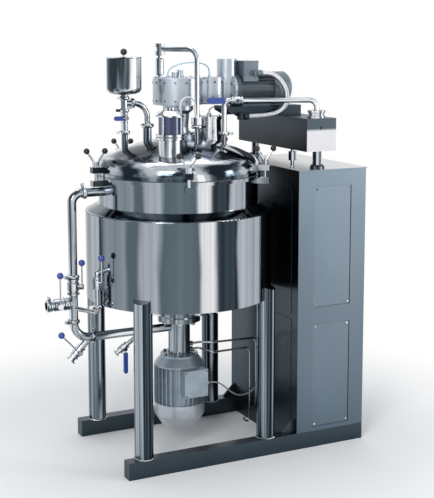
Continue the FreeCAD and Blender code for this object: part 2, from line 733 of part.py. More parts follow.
def make_pot():
    radius, wall, crown, knuckle = S.pot_radius, S.pot_wall, S.pot_crown, S.pot_knuckle
    centre = S.pot_bottom + crown
    outer_x, outer_level, depth = dish(crown, knuckle, radius)
    inner_x, inner_level, _ = dish(crown, knuckle, radius, wall)
    tangent = S.pot_bottom + depth
    throat, neck = S.throat_radius, S.bottom_flange - 30
    throat_level = square_root((crown - wall) * (crown - wall) - throat * throat)
    neck_level = square_root(crown * crown - neck * neck)
    flange_low = S.pot_seal - S.flange_tall
    outline = [
        (throat, S.pot_bottom - S.bottom_flange_tall),
        (S.bottom_flange, S.pot_bottom - S.bottom_flange_tall),
        (S.bottom_flange, S.pot_bottom),
        (neck, S.pot_bottom),
        (neck, centre - neck_level),
        (outer_x, centre - outer_level, crown),
        (radius, tangent, knuckle),
        (radius, flange_low),
        (S.flange_radius, flange_low),
        (S.flange_radius, S.pot_seal),
        (radius - wall, S.pot_seal),
        (radius - wall, tangent),
        (inner_x, centre - inner_level, wall - knuckle),
        (throat, centre - throat_level, wall - crown),
    ]
    pieces = [revolved("pot_sheet", outline, at_pot(0))]
    holes = [disc("pot_nozzle_hole", S.pipe_bore, 80, at_pot(-radius - 40), 0, S.upper_run, pointing(ALONG_X))]
    for index in range(CLAMPS):
        low = flange_low - S.lug_tall
        pieces.append(clamp_lug("lower_lug_{}".format(index), index, radius - 3, low))
        x, y = clamp_place(index)
        holes.append(disc("lower_bore_{}".format(index), S.spindle_radius + S.running_gap, 3 * S.lug_tall,
                          x, y, low - S.lug_tall))
    node(cut("vessel_pot", fused("pot_with_lugs", pieces), holes), "vessel_pot")
    node(tube("lid_gasket", S.flange_radius - 3, radius - wall, S.gasket_thick, at_pot(0), 0, S.pot_seal),
         "lid_gasket")


def make_jacket():
    """The thin jacket, and the closed space that whatever stands against it leaves free."""
    radius, sheet_ = S.jacket_radius, S.jacket_sheet
    seat = S.pot_radius + S.gap
    rounding = 9
    outline = [
        (S.jacket_inner, S.jacket_floor),
        (radius, S.jacket_low),
        (radius, S.jacket_high - rounding),
        (radius - rounding, S.jacket_high, rounding),
        (seat + rounding, S.jacket_shoulder),
        (seat, S.jacket_shoulder),
        (seat, S.jacket_shoulder - sheet_),
        (seat + rounding - 1, S.jacket_shoulder - sheet_),
        (radius - rounding, S.jacket_high - sheet_),
        (radius - sheet_, S.jacket_high - rounding, sheet_ - rounding),
        (radius - sheet_, S.jacket_low + sheet_),
        (S.jacket_inner, S.jacket_floor + sheet_),
    ]
    node(revolved("insulation_jacket", outline, at_pot(0)), "insulation_jacket")
    clear = S.gap
    space = [(0, S.jacket_floor - clear), (S.jacket_inner, S.jacket_floor - clear),
             (radius + clear, S.jacket_low - clear), (radius + clear, S.jacket_high), (0, S.jacket_high)]
    return revolved("jacket_space", space, at_pot(0))


# Lid


def lid_straight():
    """Height at which the lid's flange ends and its dish begins."""
    return S.pot_seal + S.gasket_thick + S.flange_tall


def lid_top():
    return lid_straight() + dish(S.lid_crown, S.lid_knuckle, S.lid_radius)[2]


def dish_height(reach):
    """Outside height of the lid dish at a distance from its axis."""
    return lid_top() - S.lid_crown + square_root(S.lid_crown * S.lid_crown - reach * reach)


def lid_nozzle(name, radius, x, y, high):
    """A short pipe welded into the lid dish. Its hole is cut later."""
    reach = square_root(x * x + y * y) + radius
    low = dish_height(reach) - 5
    return disc(name, radius, high - low, at_pot(x), y, low)


def make_lid():
    seat, straight, top = S.pot_seal + S.gasket_thick, lid_straight(), lid_top()
    radius, wall, crown, knuckle = S.lid_radius, S.lid_wall, S.lid_crown, S.lid_knuckle
    outer_x, outer_level, _ = dish(crown, knuckle, radius)
    inner_x, inner_level, _ = dish(crown, knuckle, radius, wall)
    outline = [
        (S.pot_radius - S.pot_wall, seat),
        (S.flange_radius, seat),
        (S.flange_radius, straight),
        (radius, straight),
        (outer_x, top - crown + outer_level, knuckle),
        (0, top, crown),
        (0, top - wall),
        (inner_x, top - crown + inner_level, wall - crown),
        (radius - wall, straight, wall - knuckle),
        (radius - wall, straight - 4),
        (S.pot_radius - S.pot_wall, straight - 6),
    ]
    pieces = [revolved("lid_dish", outline, at_pot(0))]
    holes = [disc("lid_shaft_hole", S.hollow_shaft + 6, 60, at_pot(0), 0, top - 40),
             disc("lid_sight_hole", S.sight_radius - 25, 200, at_pot(S.sight_x), S.sight_y, top - 160)]
    for name, pipe_size, x, y, high in (
            ("hopper", S.hopper_neck, S.hopper_x, 0, HOPPER_JOINT),
            ("short", S.pipe_radius, S.short_nozzle_x, 0, ELBOW_JOINT),
            ("vent", S.vent_pipe, S.vent_x, S.vent_y, VENT_JOINT),
            ("vacuum", S.vacuum_pipe, S.vacuum_x, S.vacuum_y, VACUUM_JOINT)):
        pieces.append(lid_nozzle("lid_nozzle_" + name, pipe_size, x, y, high))
        holes.append(disc("lid_hole_" + name, pipe_size - 2, 300, at_pot(x), y, top - 160))
    for index in range(CLAMPS):
        pieces.append(clamp_lug("upper_lug_{}".format(index), index, radius - 8, straight))
        x, y = clamp_place(index)
        holes.append(disc("upper_bore_{}".format(index), S.spindle_radius + S.running_gap, 3 * S.lug_tall,
                          x, y, straight - S.lug_tall))
    node(cut("lid_shell", fused("lid_with_lugs", pieces), holes), "lid_shell")
    return ball("lid_space", crown + S.gap, at_pot(0), 0, top - crown)


def make_clamp_screws():
    """Five captive screws: spindle, hub, two arms and two black balls."""
    seat = lid_straight() + S.lug_tall
    below = seat - (S.pot_seal - S.flange_tall - S.lug_tall) - 1
    spindle, knob, bar, root = S.spindle_radius, S.clamp_ball, 6.5, 22
    hub_high = S.gap + 30
    turned = [(0, -below), (spindle, -below), (spindle, S.gap), (2 * spindle, S.gap), (2 * spindle, hub_high),
              (0, hub_high)]
    for index, rest in enumerate((12, -23, -16, -28, -8)):
        name = "clamp_screw_{}".format(index + 1)
        x, y = clamp_place(index)
        pieces = [revolved(name + "_spindle", turned)]
        for side in (-1, 1):
            arm = Vector(side * 46, 0, 70)
            reach = arm.Length
            outline = [(0, 0), (bar, 0), (bar, reach - square_root(knob * knob - bar * bar)),
                       (0, reach + knob, knob)]
            pieces.append(revolved("{}_arm_{}".format(name, side + 1), outline, side * 6, 0, root, pointing(arm)))
        node(place(fused(name, pieces), x, y, seat, heading(rest)), name)


# Drive on the lid


def make_drive(lid_space):
    crown, low, high, radius = lid_top(), S.drum_low, S.drum_high, S.drum_radius
    bore = S.hollow_shaft + S.running_gap
    wide, slim = 110, S.pedestal_radius
    outline = [
        (bore, crown - 30), (wide, crown - 30), (wide, crown + 18), (slim, crown + 24), (slim - 6, crown + 60),
        (slim, low - 50), (slim + 24, low - 28), (slim + 24, low), (bore, low),
    ]
    node(cut("drive_pedestal", revolved("pedestal_turned", outline, at_pot(0)), [lid_space]), "drive_pedestal")

    inner_bore = S.inner_shaft + S.running_gap
    outline = [
        (0, high), (0, low + 120), (inner_bore, low + 120), (inner_bore, low + 60), (bore, low + 60), (bore, low),
        (radius - 28, low), (radius - 28, low + 4), (radius, low + 4), (radius, high - 3), (radius - 3, high),
    ]
    pieces = [
        revolved("drum_turned", outline, at_pot(0)),
        disc("drum_boss", 26, 10, at_pot(38), 52, high - 1),
        disc("drum_cap", 19, 34, at_pot(38), 52, high + 8),
        disc("drum_plug", 15, 30, at_pot(-2), 48, high - 1),
        disc("drum_hose_fitting", 8, 15, at_pot(HOSE_START[0]), HOSE_START[1], high - 1),
    ]
    for index in range(3):
        pieces.append(disc("drum_plug_rib_{}".format(index), 18, 4, at_pot(-2), 48, high + 4 + index * 9))
    node(fused("planetary_drum", pieces), "planetary_drum")

    turn = pointing(ALONG_X)
    core, fin, axis = S.motor_core, S.motor_fin, S.motor_axis
    edge = core + fin
    neck = disc("gear_neck_turned", S.gear_radius, high - low - 2, at_pot(S.gear_x), 0, low + 1)
    bridge = block("gear_bridge", S.upright_x - radius + 12, 110, high - low - 20, at_pot(radius - 12), -55,
                   low + 10)
    upright = disc("gear_upright", S.upright_radius, S.upright_top - low - 10, at_pot(S.upright_x), 0, low + 10)
    flange = disc("gear_flange", edge, 16, at_pot(S.motor_near - 16), 0, axis, turn)
    fitting = disc("gear_hose_fitting", 8, 15, at_pot(HOSE_END[0]), HOSE_END[1], high - 2)
    drum_space = disc("gear_drum_space", radius + S.gap, 400, at_pot(0), 0, low - 100)
    motor_space = disc("motor_space", edge + S.gap, 420, at_pot(S.motor_near), 0, axis, turn)
    body = fused("gear_neck_body", [neck, bridge, upright, flange, fitting])
    node(cut("gear_neck", body, [drum_space, motor_space]), "gear_neck")

    start, length = at_pot(S.motor_near), S.motor_length
    bell, rear = 30, 12
    pieces = [
        finned("motor_finned", core, fin, 4, length - bell - rear, 26, start + bell, 0, axis, turn),
        disc("motor_bell", edge, bell, start, 0, axis, turn),
        disc("motor_rear", core + 4, rear, start + length - rear, 0, axis, turn),
        block("motor_saddle", 170, 90, core - 20, start + 50, -45, S.bracket_top),
        block("motor_feet", 190, 170, 12, start + 40, -85, S.bracket_top),
    ]
    node(fused("stirrer_motor", pieces), "stirrer_motor")

    end = S.cowl_length
    outline = [
        (core + 4 + S.gap, -rear), (edge, -rear), (edge, end - 20), (edge - 16, end), (30, end), (30, end - 3),
        (edge - 18, end - 3), (edge - 3, end - 21), (edge - 3, 0), (core + 4 + S.gap, 0),
    ]
    node(revolved("stirrer_fan_cowl", outline, start + length, 0, axis, turn), "stirrer_fan_cowl")

    box_x, box_low, box_high = S.motor_near + 40, 2198, 2312
    gland_x, gland_y, gland_z = CONDUIT[0]
    box_body = fused("stirrer_box_body", [
        block("stirrer_box", 98, 140, box_high - box_low, at_pot(box_x), BOX_FRONT, box_low),
        block("stirrer_box_cover", 102, 144, 9, at_pot(box_x - 2), BOX_FRONT - 2, box_high - 1),
        disc("stirrer_box_plug", 16, 5, at_pot(box_x + 24), BOX_FRONT + 1, gland_z, pointing(FRONT)),
        disc("stirrer_box_gland", 17, 34, at_pot(gland_x - 36), BOX_FRONT + 1, gland_z, pointing(FRONT)),
        disc("stirrer_box_outlet", 20, 36, at_pot(gland_x - 36), gland_y, gland_z, turn),
    ])
    node(cut("stirrer_terminal_box", box_body, [motor_space]), "stirrer_terminal_box")


def make_bracket():
    """A folded bracket from the drive to the crossbeam: top plate, two cheeks, a foot and an inlet."""
    top, thick, half, low = S.bracket_top, S.bracket_plate, S.bracket_half, S.beam_high
    near, far = S.motor_near - 60, S.beam_near + S.beam_wide - 46
    outline = [(near, top), (near, top - 26), (near + 60, low), (far, low), (far, top)]
    pieces = [block("bracket_plate_top", far - near, 2 * half, thick, at_pot(near), -half, top - thick),
              block("bracket_foot", far - S.beam_near - 4, 2 * half, thick, at_pot(S.beam_near + 4), -half, low)]
    for name, side in (("front", -1), ("rear", 1)):
        pieces.append(plate("bracket_cheek_" + name, outline, thick / 2, at_pot(0), side * (half - thick / 4)))
    fitting_x, fitting_y, fitting_z = CONDUIT[-1]
    pieces.append(block("bracket_inlet", 30, 6 - fitting_y - half, 40, at_pot(fitting_x - 52), fitting_y - 6,
                        fitting_z - 20))
    pieces.append(disc("bracket_gland", 20, 30, at_pot(fitting_x - 30), fitting_y, fitting_z, pointing(ALONG_X)))
    node(fused("motor_bracket", pieces), "motor_bracket")


# Lift


def make_lift():
    beam = closed_tube("crossbeam_tube", S.beam_wide, 2 * S.base_half, S.beam_high - S.beam_low, S.beam_wall,
                       at_pot(S.beam_near), -S.base_half, S.beam_low)
    bolt = disc("crossbeam_bolt", 13, 8, at_pot(S.beam_near + 105), -S.base_half + 1, S.beam_high - 58,
                pointing(FRONT))
    outline = [(0, -1), (53, -1), (53, 12), (47, 16), (47, 28), (53, 32), (53, 44), (0, 44)]
    hub = revolved("crossbeam_hub", outline, at_pot(S.hub_x), S.hub_y, S.beam_high)
    node(fused("crossbeam", [beam, bolt, hub]), "crossbeam")
    columns = []
    for name, side in (("front", -1), ("rear", 1)):
        columns.append(disc("column_" + name, S.column_radius, S.beam_low - S.column_foot,
                            at_pot(S.beam_near + S.beam_wide / 2), side * S.column_y, S.column_foot))
    rod_foot = S.cabinet_top - 320
    rod = disc("guide_rod", S.rod_radius, S.beam_low - rod_foot, at_pot(S.rod_x), S.rod_y, rod_foot)
    coupling = disc("guide_coupling", 26, 52, at_pot(S.rod_x), S.rod_y, S.beam_low - 66)
    columns.append(fused("guide_rod_coupled", [rod, coupling]))
    node(group("lift_columns", columns), "lift_columns")


# Fittings on the lid


def make_sight_glass(lid_space):
    x, y, low, high, radius = at_pot(S.sight_x), S.sight_y, S.sight_low, S.sight_high, S.sight_radius
    neck = [
        (radius - 25, low - 150), (radius - 11, low - 150), (radius - 11, low - 34), (radius, low - 30),
        (radius, low - 18), (radius - 5, low - 15), (radius, low - 12), (radius, low), (radius - 25, low),
    ]
    cover = [(0, high), (radius, high), (radius, high + 9), (46, high + 34), (30, high + 38), (30, high + 48),
             (0, high + 48)]
    cable_x, cable_y, cable_z = SIGHT_CABLE[0]
    pieces = [cut("sight_neck", revolved("sight_neck_turned", neck, x, y), [lid_space]),
              revolved("sight_cover", cover, x, y),
              disc("sight_gland", 8, 24, at_pot(cable_x), cable_y, cable_z - 24)]
    for index in range(4):
        angle = 32 + index * 90
        pieces.append(disc("sight_post_{}".format(index), 6, high - low + 2, x + (radius - 8) * cosine(angle),
                           y + (radius - 8) * sine(angle), low - 1))
    node(fused("sight_glass_frame", pieces), "sight_glass_frame")
    glass = tube("sight_glass", radius - 14 - S.gap, radius - 25, high - low, x, y, low)
    node(glass, "sight_glass")


def make_lamp(lid_space):
    """The lamp housing, and the route of its cable to the bracket."""
    x, y = at_pot(S.lamp_x), S.lamp_y
    low, rim = lid_top() - 80, 1990
    outline = [(0, low), (78, low), (72, rim - 18), (79, rim - 18), (79, rim), (13, rim), (13, rim + 18),
               (0, rim + 18)]
    node(cut("lamp_housing", revolved("lamp_turned", outline, x, y), [lid_space]), "lamp_housing")
    bracket_near = S.motor_near - 60
    return [(S.lamp_x, S.lamp_y, rim + 18), (S.lamp_x, S.lamp_y, rim + 32), (228, 38, 2033), (239, 35, 2041),
            (253, 33, 2045), (268, 32, 2043), (bracket_near, 32, 2043)]


def make_hopper():
    x = at_pot(S.hopper_x)
    radius, wall, low, rim, neck = S.hopper_radius, S.hopper_wall, S.hopper_low, S.hopper_rim, S.hopper_neck
    valve_top = HOPPER_VALVE + VALVE_HALF * HOPPER_VALVE_SCALE
    corner = 36
    cup = [
        (neck - wall, valve_top), (neck, valve_top), (neck, low), (radius - corner, low + 8),
        (radius, low + 8 + corner, corner), (radius, rim - 4), (radius + 5, rim),
        (radius + 1, rim), (radius - wall, rim - 4), (radius - wall, low + 8 + corner),
        (radius - corner, low + 8 + wall, wall - corner), (neck - wall, low + wall),
    ]
    elbow = [(at_pot(S.hopper_x + 8), 0, 2083), (at_pot(S.short_nozzle_x), 0, 2083),
             (at_pot(S.short_nozzle_x), 0, ELBOW_JOINT)]
    bend, pipe_size = 86, 17
    side_wall = pipe("hopper_side_wall", elbow, bend, pipe_size)
    side_bore = pipe("hopper_side_bore", elbow, bend, pipe_size - wall)
    reducer = taper("hopper_side_reducer", S.pipe_radius, pipe_size, 24, at_pot(S.short_nozzle_x), 0, ELBOW_JOINT)
    neck_bore = disc("hopper_neck_bore", neck - wall, 80, x, 0, 2040)
    body = fused("hopper_body", [revolved("hopper_cup", cup, x), side_wall, reducer])
    node(cut("charge_hopper", body, [side_bore, neck_bore]), "charge_hopper")
    cover = [(0, rim), (radius + 4, rim), (radius + 4, rim + 2.5), (radius - 14, rim + 4.5), (0, rim + 4.5)]
    stem = disc("hopper_cover_stem", 6, 14, z=rim + 4)
    knob = ball("hopper_cover_knob", 19.5, z=rim + 32)
    lifted = fused("hopper_cover", [revolved("hopper_cover_plate", cover), stem, knob])
    node(place(lifted, x, 0, S.gap), "hopper_cover")


def make_lid_pipes():
    x, y = at_pot(S.vent_x), S.vent_y
    high, wall = S.vent_high, 2
    run = pipe("vent_run", [(x, y, VENT_JOINT), (x, y, high), (at_pot(S.filter_x), S.filter_y, high)], 62,
               S.vent_pipe, S.vent_pipe - wall)
    collar = tube("vent_collar", 33, S.vent_pipe, 40, x, y, 1963)
    cable_x, cable_y, cable_z = SIGHT_CABLE[-1]
    cable_gland = disc("vent_cable_gland", 7, 14, at_pot(cable_x), cable_y, cable_z - 14)
    outline = [(0, S.drum_high), (15, S.drum_high), (15, 2240), (26, 2246), (26, 2332), (14, 2340), (14, 2352),
               (30, 2356), (30, 2378), (23, 2381), (23, 2403), (30, 2406), (30, 2424), (14, 2427), (0, 2427)]
    canister = revolved("vent_filter", outline, at_pot(S.filter_x), S.filter_y)
    node(fused("vent_pipe", [run, collar, cable_gland, canister]), "vent_pipe")

    start, end = vector_of((S.vacuum_x, S.vacuum_y, 0)), vector_of((S.hub_x, S.hub_y, 0))
    along = (end - start).normalize()
    side = Vector(along.y, -along.x, 0)
    high, radius = S.vacuum_high, S.vacuum_pipe
    centre = start + along * 78
    half = VALVE_HALF * VACUUM_VALVE_SCALE
    before, after = centre - along * half, centre + along * half
    rise = pipe("vacuum_rise", [(at_pot(start.x), start.y, VACUUM_JOINT), (at_pot(start.x), start.y, high),
                                (at_pot(before.x), before.y, high)], 36, radius, radius - wall)
    level = pipe("vacuum_level", [(at_pot(after.x), after.y, high), (at_pot(end.x), end.y, high),
                                  (at_pot(end.x), end.y, S.beam_high + 44)], 45, radius, radius - wall)
    node(group("vacuum_pipe", [rise, level]), "vacuum_pipe")

    vacuum_centre = (at_pot(centre.x), centre.y, high)
    hopper_centre = (at_pot(S.hopper_x), 0, HOPPER_VALVE)
    neck = S.hopper_neck
    foot = tube("hopper_valve_foot", neck, neck - wall, HOPPER_VALVE - VALVE_HALF * HOPPER_VALVE_SCALE - HOPPER_JOINT,
                at_pot(S.hopper_x), 0, HOPPER_JOINT)
    bodies = [ball_valve("vacuum_valve", vacuum_centre, radius - wall, VACUUM_VALVE_SCALE, along, side),
              ball_valve("hopper_valve", hopper_centre, neck - wall, HOPPER_VALVE_SCALE), foot]
    node(group("lid_valve_bodies", bodies), "lid_valve_bodies")
    valve_lever("vacuum_valve_lever", vacuum_centre, VACUUM_VALVE_SCALE, side, -along, 178, (104, 36))
    valve_lever("hopper_valve_lever", hopper_centre, HOPPER_VALVE_SCALE, FRONT, BACK_X, 78, (56, 26))

    across = pointing(ALONG_X)
    rings = [
        pipe_clamp("clamp_hopper_foot", at_pot(S.hopper_x), 0, HOPPER_JOINT, neck, 33, wing=200),
        pipe_clamp("clamp_hopper_valve", at_pot(S.hopper_x), 0, 2043, neck, 29, wing=160),
        pipe_clamp("clamp_hopper_neck", at_pot(S.hopper_x), 0, 2114, neck, 31, wing=215),
        pipe_clamp("clamp_hopper_side", at_pot(S.hopper_x + 50), 0, 2083, 17, 30, across, 60),
        pipe_clamp("clamp_short_nozzle", at_pot(S.short_nozzle_x), 0, ELBOW_JOINT, S.pipe_radius, 38, wing=15),
        pipe_clamp("clamp_vent", x, y, VENT_JOINT, S.vent_pipe, 33, wing=-15),
        pipe_clamp("clamp_vacuum", at_pot(S.vacuum_x), S.vacuum_y, VACUUM_JOINT, radius, 33, wing=-35),
    ]
    node(group("lid_pipe_clamps", rings), "lid_pipe_clamps")


# Bottom homogenizer


def slots(name, count, wide, tall, reach, low):
    """Radial cutters for a ring of slots."""
    cutters = []
    for index in range(count):
        angle = index * 360 / count
        corner = heading(angle).multVec(Vector(0, -wide / 2, 0))
        cutters.append(block("{}_{}".format(name, index), reach, wide, tall, at_pot(corner.x), corner.y, low,
                             heading(angle)))
    return cutters


def make_homogenizer():
    seal = S.pot_bottom - S.bottom_flange_tall
    bore = S.rotor_shaft + S.running_gap
    outline = [
        (bore, S.neck_low), (S.neck_radius, S.neck_low), (S.neck_radius, seal - S.bottom_flange_tall),
        (S.bottom_flange, seal - S.bottom_flange_tall), (S.bottom_flange, seal), (S.chamber_radius, seal),
        (S.chamber_radius, S.chamber_low), (bore, S.chamber_low),
    ]
    inlet = disc("chamber_inlet", S.pipe_bore, 60, at_pot(-S.neck_radius - 20), 0, S.lower_run, pointing(ALONG_X))
    pieces = [revolved("neck_turned", outline, at_pot(0))]
    for name, z in (("upper", SEAL_TUBE_HIGH), ("lower", SEAL_TUBE_LOW)):
        pieces.append(disc("seal_port_" + name, 11, 26, at_pot(S.neck_radius - 8), -14, z, pointing(ALONG_X)))
        pieces.append(disc("seal_port_nut_" + name, 15, 12, at_pot(S.neck_radius + 2), -14, z,
                           pointing(ALONG_X)))
    node(cut("homogenizer_housing", fused("neck_with_ports", pieces), [inlet]), "homogenizer_housing")

    ring, wall, tall = S.stator_bore, S.stator_wall, S.stator_tall
    foot = [(ring, seal), (ring + wall + 14, seal), (ring + wall + 14, seal + 9), (ring + wall, seal + 13),
            (ring + wall, seal + tall), (ring, seal + tall)]
    stator = revolved("stator_turned", foot, at_pot(0))
    node(cut("homogenizer_stator", stator, slots("stator_slot", 16, 6, tall - 48, 90, seal + 40)),
         "homogenizer_stator")

    tip, hub_low, high = ring - S.gap, seal + 36, seal + tall - 6
    teeth_low = hub_low + 12
    head = [(0, S.neck_low + 14), (S.rotor_shaft, S.neck_low + 14), (S.rotor_shaft, hub_low), (tip, hub_low),
            (tip, high), (tip - 12, high), (tip - 12, teeth_low), (0, teeth_low)]
    rotor = revolved("rotor_turned", head, at_pot(0))
    node(cut("homogenizer_rotor", rotor, slots("rotor_slot", 12, 7, tall, 80, teeth_low + 2)),
         "homogenizer_rotor")


def make_homogenizer_motor():
    core, fin, low, high = S.mixer_core, S.mixer_fin, S.mixer_fin_low, S.mixer_fin_high
    edge = core + fin
    bell = [(0, high - 1), (edge - 2, high - 1), (edge - 4, high + 10), (114, S.neck_low - 12), (114, S.neck_low),
            (0, S.neck_low)]
    rear, sheet_ = 14, 3
    pieces = [
        finned("mixer_finned", core, fin, 4.5, high - low, 30, at_pot(0), 0, low),
        revolved("mixer_bell", bell, at_pot(0)),
        disc("mixer_rear", edge - sheet_ - S.gap, rear, at_pot(0), 0, low - rear + 1),
        block("mixer_box_pad", 120, 24, 130, at_pot(-45), -edge, 362),
        disc("mixer_eye", 11, 12, at_pot(-8), -edge + 22, high - 2, pointing(FRONT)),
    ]
    node(fused("homogenizer_motor", pieces), "homogenizer_motor")

    outline = [
        (edge - sheet_, low), (edge, low), (edge, 200), (110, S.mixer_low), (40, S.mixer_low),
        (40, S.mixer_low + sheet_), (110 - sheet_, S.mixer_low + sheet_), (edge - sheet_, 202),
    ]
    node(revolved("homogenizer_fan_cowl", outline, at_pot(0)), "homogenizer_fan_cowl")

    gland_x, gland_y, gland_z = MIXER_CABLE[0]
    box = block("mixer_box", 146, 52, 159, at_pot(-58), -edge - 52, 348)
    cover = block("mixer_box_cover", 150, 12, 163, at_pot(-60), -edge - 62, 346)
    gland = disc("mixer_gland", 12, gland_x - 87, at_pot(87), gland_y, gland_z, pointing(ALONG_X))
    node(fused("homogenizer_terminal_box", [box, cover, gland]), "homogenizer_terminal_box")


# Circulation line


def bored(name, solids, bores):
    return cut(name, fused(name + "_solid", solids), bores)


def make_circulation(jacket_space):
    riser, run, radius, bore = S.riser_x, S.lower_run, S.pipe_radius, S.pipe_bore
    small, small_bore = S.small_pipe, S.small_pipe - 1.5
    valve_low, valve_high = S.circulation_valve - VALVE_HALF, S.circulation_valve + VALVE_HALF
    top = [(at_pot(riser), 0, valve_high), (at_pot(riser), 0, S.upper_run), (at_pot(-S.pot_radius + 10), 0, S.upper_run)]
    pot_space = disc("pot_space", S.pot_radius + S.gap, 400, at_pot(0), 0, S.upper_run - 200)
    upper = cut("riser_upper", pipe("riser_upper_pipe", top, 58, radius, bore), [pot_space])
    branch_end, branch_mouth = S.branch_x + VALVE_HALF, S.branch_x - VALVE_HALF
    back = pointing(BACK_X)
    tee = bored("riser_tee",
                [disc("tee_wall", radius, valve_low - RISER_JOINT, at_pot(riser), 0, RISER_JOINT),
                 disc("tee_arm", radius, riser - branch_end, at_pot(riser), 0, S.branch_height, back)],
                [disc("tee_bore", bore, 300, at_pot(riser), 0, RISER_JOINT - 60),
                 disc("tee_arm_bore", bore, riser - branch_end + 5, at_pot(riser), 0, S.branch_height, back)])
    corner = [(at_pot(riser), 0, RISER_JOINT), (at_pot(riser), 0, run), (at_pot(INLET_JOINT), 0, run)]
    stub = (at_pot(DISCHARGE_X), 0, run, pointing(DISCHARGE))
    elbow = bored("riser_elbow",
                  [pipe("riser_elbow_wall", corner, 95, radius), disc("discharge_stub", small, DISCHARGE_STUB, *stub)],
                  [pipe("riser_elbow_bore", corner, 95, bore),
                   disc("discharge_stub_bore", small_bore, DISCHARGE_STUB + 5, *stub)])
    node(group("circulation_riser", [upper, tee, elbow]), "circulation_riser")

    inlet = tube("inlet_pipe", radius, bore, -INLET_JOINT - 40, at_pot(INLET_JOINT), 0, run, pointing(ALONG_X))
    neck_space = disc("inlet_seat", S.neck_radius + S.gap, 200, at_pot(0), 0, run - 100)
    node(cut("circulation_inlet", inlet, [neck_space]), "circulation_inlet")

    scale = DISCHARGE_SCALE
    middle = DISCHARGE * (DISCHARGE_STUB + VALVE_HALF * scale)
    outlet = DISCHARGE * (DISCHARGE_STUB + 2 * VALVE_HALF * scale)
    lip = outlet + DISCHARGE * 22
    centre = (at_pot(DISCHARGE_X + middle.x), 0, run + middle.z)
    jacket_valve = (at_pot(JACKET_VALVE[0]), JACKET_VALVE[1], JACKET_VALVE[2])
    drain_valve = (at_pot(DRAIN_VALVE.x), DRAIN_VALVE.y, DRAIN_VALVE.z)
    riser_valve = (at_pot(riser), 0, S.circulation_valve)
    branch_valve = (at_pot(S.branch_x), 0, S.branch_height)
    thin_bore = S.thin_pipe - 1.5
    bodies = [
        ball_valve("circulation_ball_valve", riser_valve, bore, 1, UP, RISER_STEM),
        ball_valve("branch_ball_valve", branch_valve, bore, 1, BACK_X),
        ball_valve("discharge_ball_valve", centre, small_bore, scale, DISCHARGE),
        ball_valve("jacket_ball_valve", jacket_valve, thin_bore, JACKET_VALVE_SCALE, UP, JACKET_STEM),
        ball_valve("drain_ball_valve", drain_valve, thin_bore, DRAIN_SCALE, DRAIN),
        bored("discharge_mouth",
              [disc("discharge_outlet", small, 30, at_pot(DISCHARGE_X + outlet.x), 0, run + outlet.z,
                    pointing(DISCHARGE)),
               disc("discharge_lip", 30, 8, at_pot(DISCHARGE_X + lip.x), 0, run + lip.z, pointing(DISCHARGE))],
              [disc("discharge_bore", small_bore, 60, at_pot(DISCHARGE_X + outlet.x), 0, run + outlet.z,
                    pointing(DISCHARGE))]),
        tube("branch_mouth", radius, bore, 22, at_pot(branch_mouth), 0, S.branch_height, back),
    ]
    node(group("vessel_valve_bodies", bodies), "vessel_valve_bodies")
    valve_lever("circulation_valve_lever", riser_valve, 1, RISER_STEM, UP, 140)
    valve_lever("branch_valve_lever", branch_valve, 1, FRONT, UP, 180)
    valve_lever("discharge_valve_lever", centre, scale, FRONT, Vector(-111, 0, 120), 163)
    valve_lever("jacket_valve_lever", jacket_valve, JACKET_VALVE_SCALE, JACKET_STEM, UP, 146)
    valve_lever("drain_valve_lever", drain_valve, DRAIN_SCALE, FRONT, DOWN, 142, (120, 24))

    across = pointing(ALONG_X)
    rings = [
        pipe_clamp("clamp_upper_nozzle", at_pot(-592), 0, S.upper_run, radius, turn=across, wing=150),
        pipe_clamp("clamp_riser_valve", at_pot(riser), 0, valve_high + 11, radius, wing=190),
        pipe_clamp("clamp_riser_low", at_pot(riser), 0, RISER_JOINT, radius, wing=200),
        pipe_clamp("clamp_inlet", at_pot(INLET_JOINT), 0, run, radius, turn=across, wing=210),
        pipe_clamp("clamp_branch", at_pot(branch_end + 11), 0, S.branch_height, radius, turn=across, wing=120),
        pipe_clamp("clamp_branch_mouth", at_pot(branch_mouth - 11), 0, S.branch_height, radius, turn=across,
                   wing=200),
        pipe_clamp("clamp_jacket_pipe", jacket_valve[0], jacket_valve[1], 950, S.thin_pipe, 26, wing=170),
    ]
    node(group("vessel_pipe_clamps", rings), "vessel_pipe_clamps")


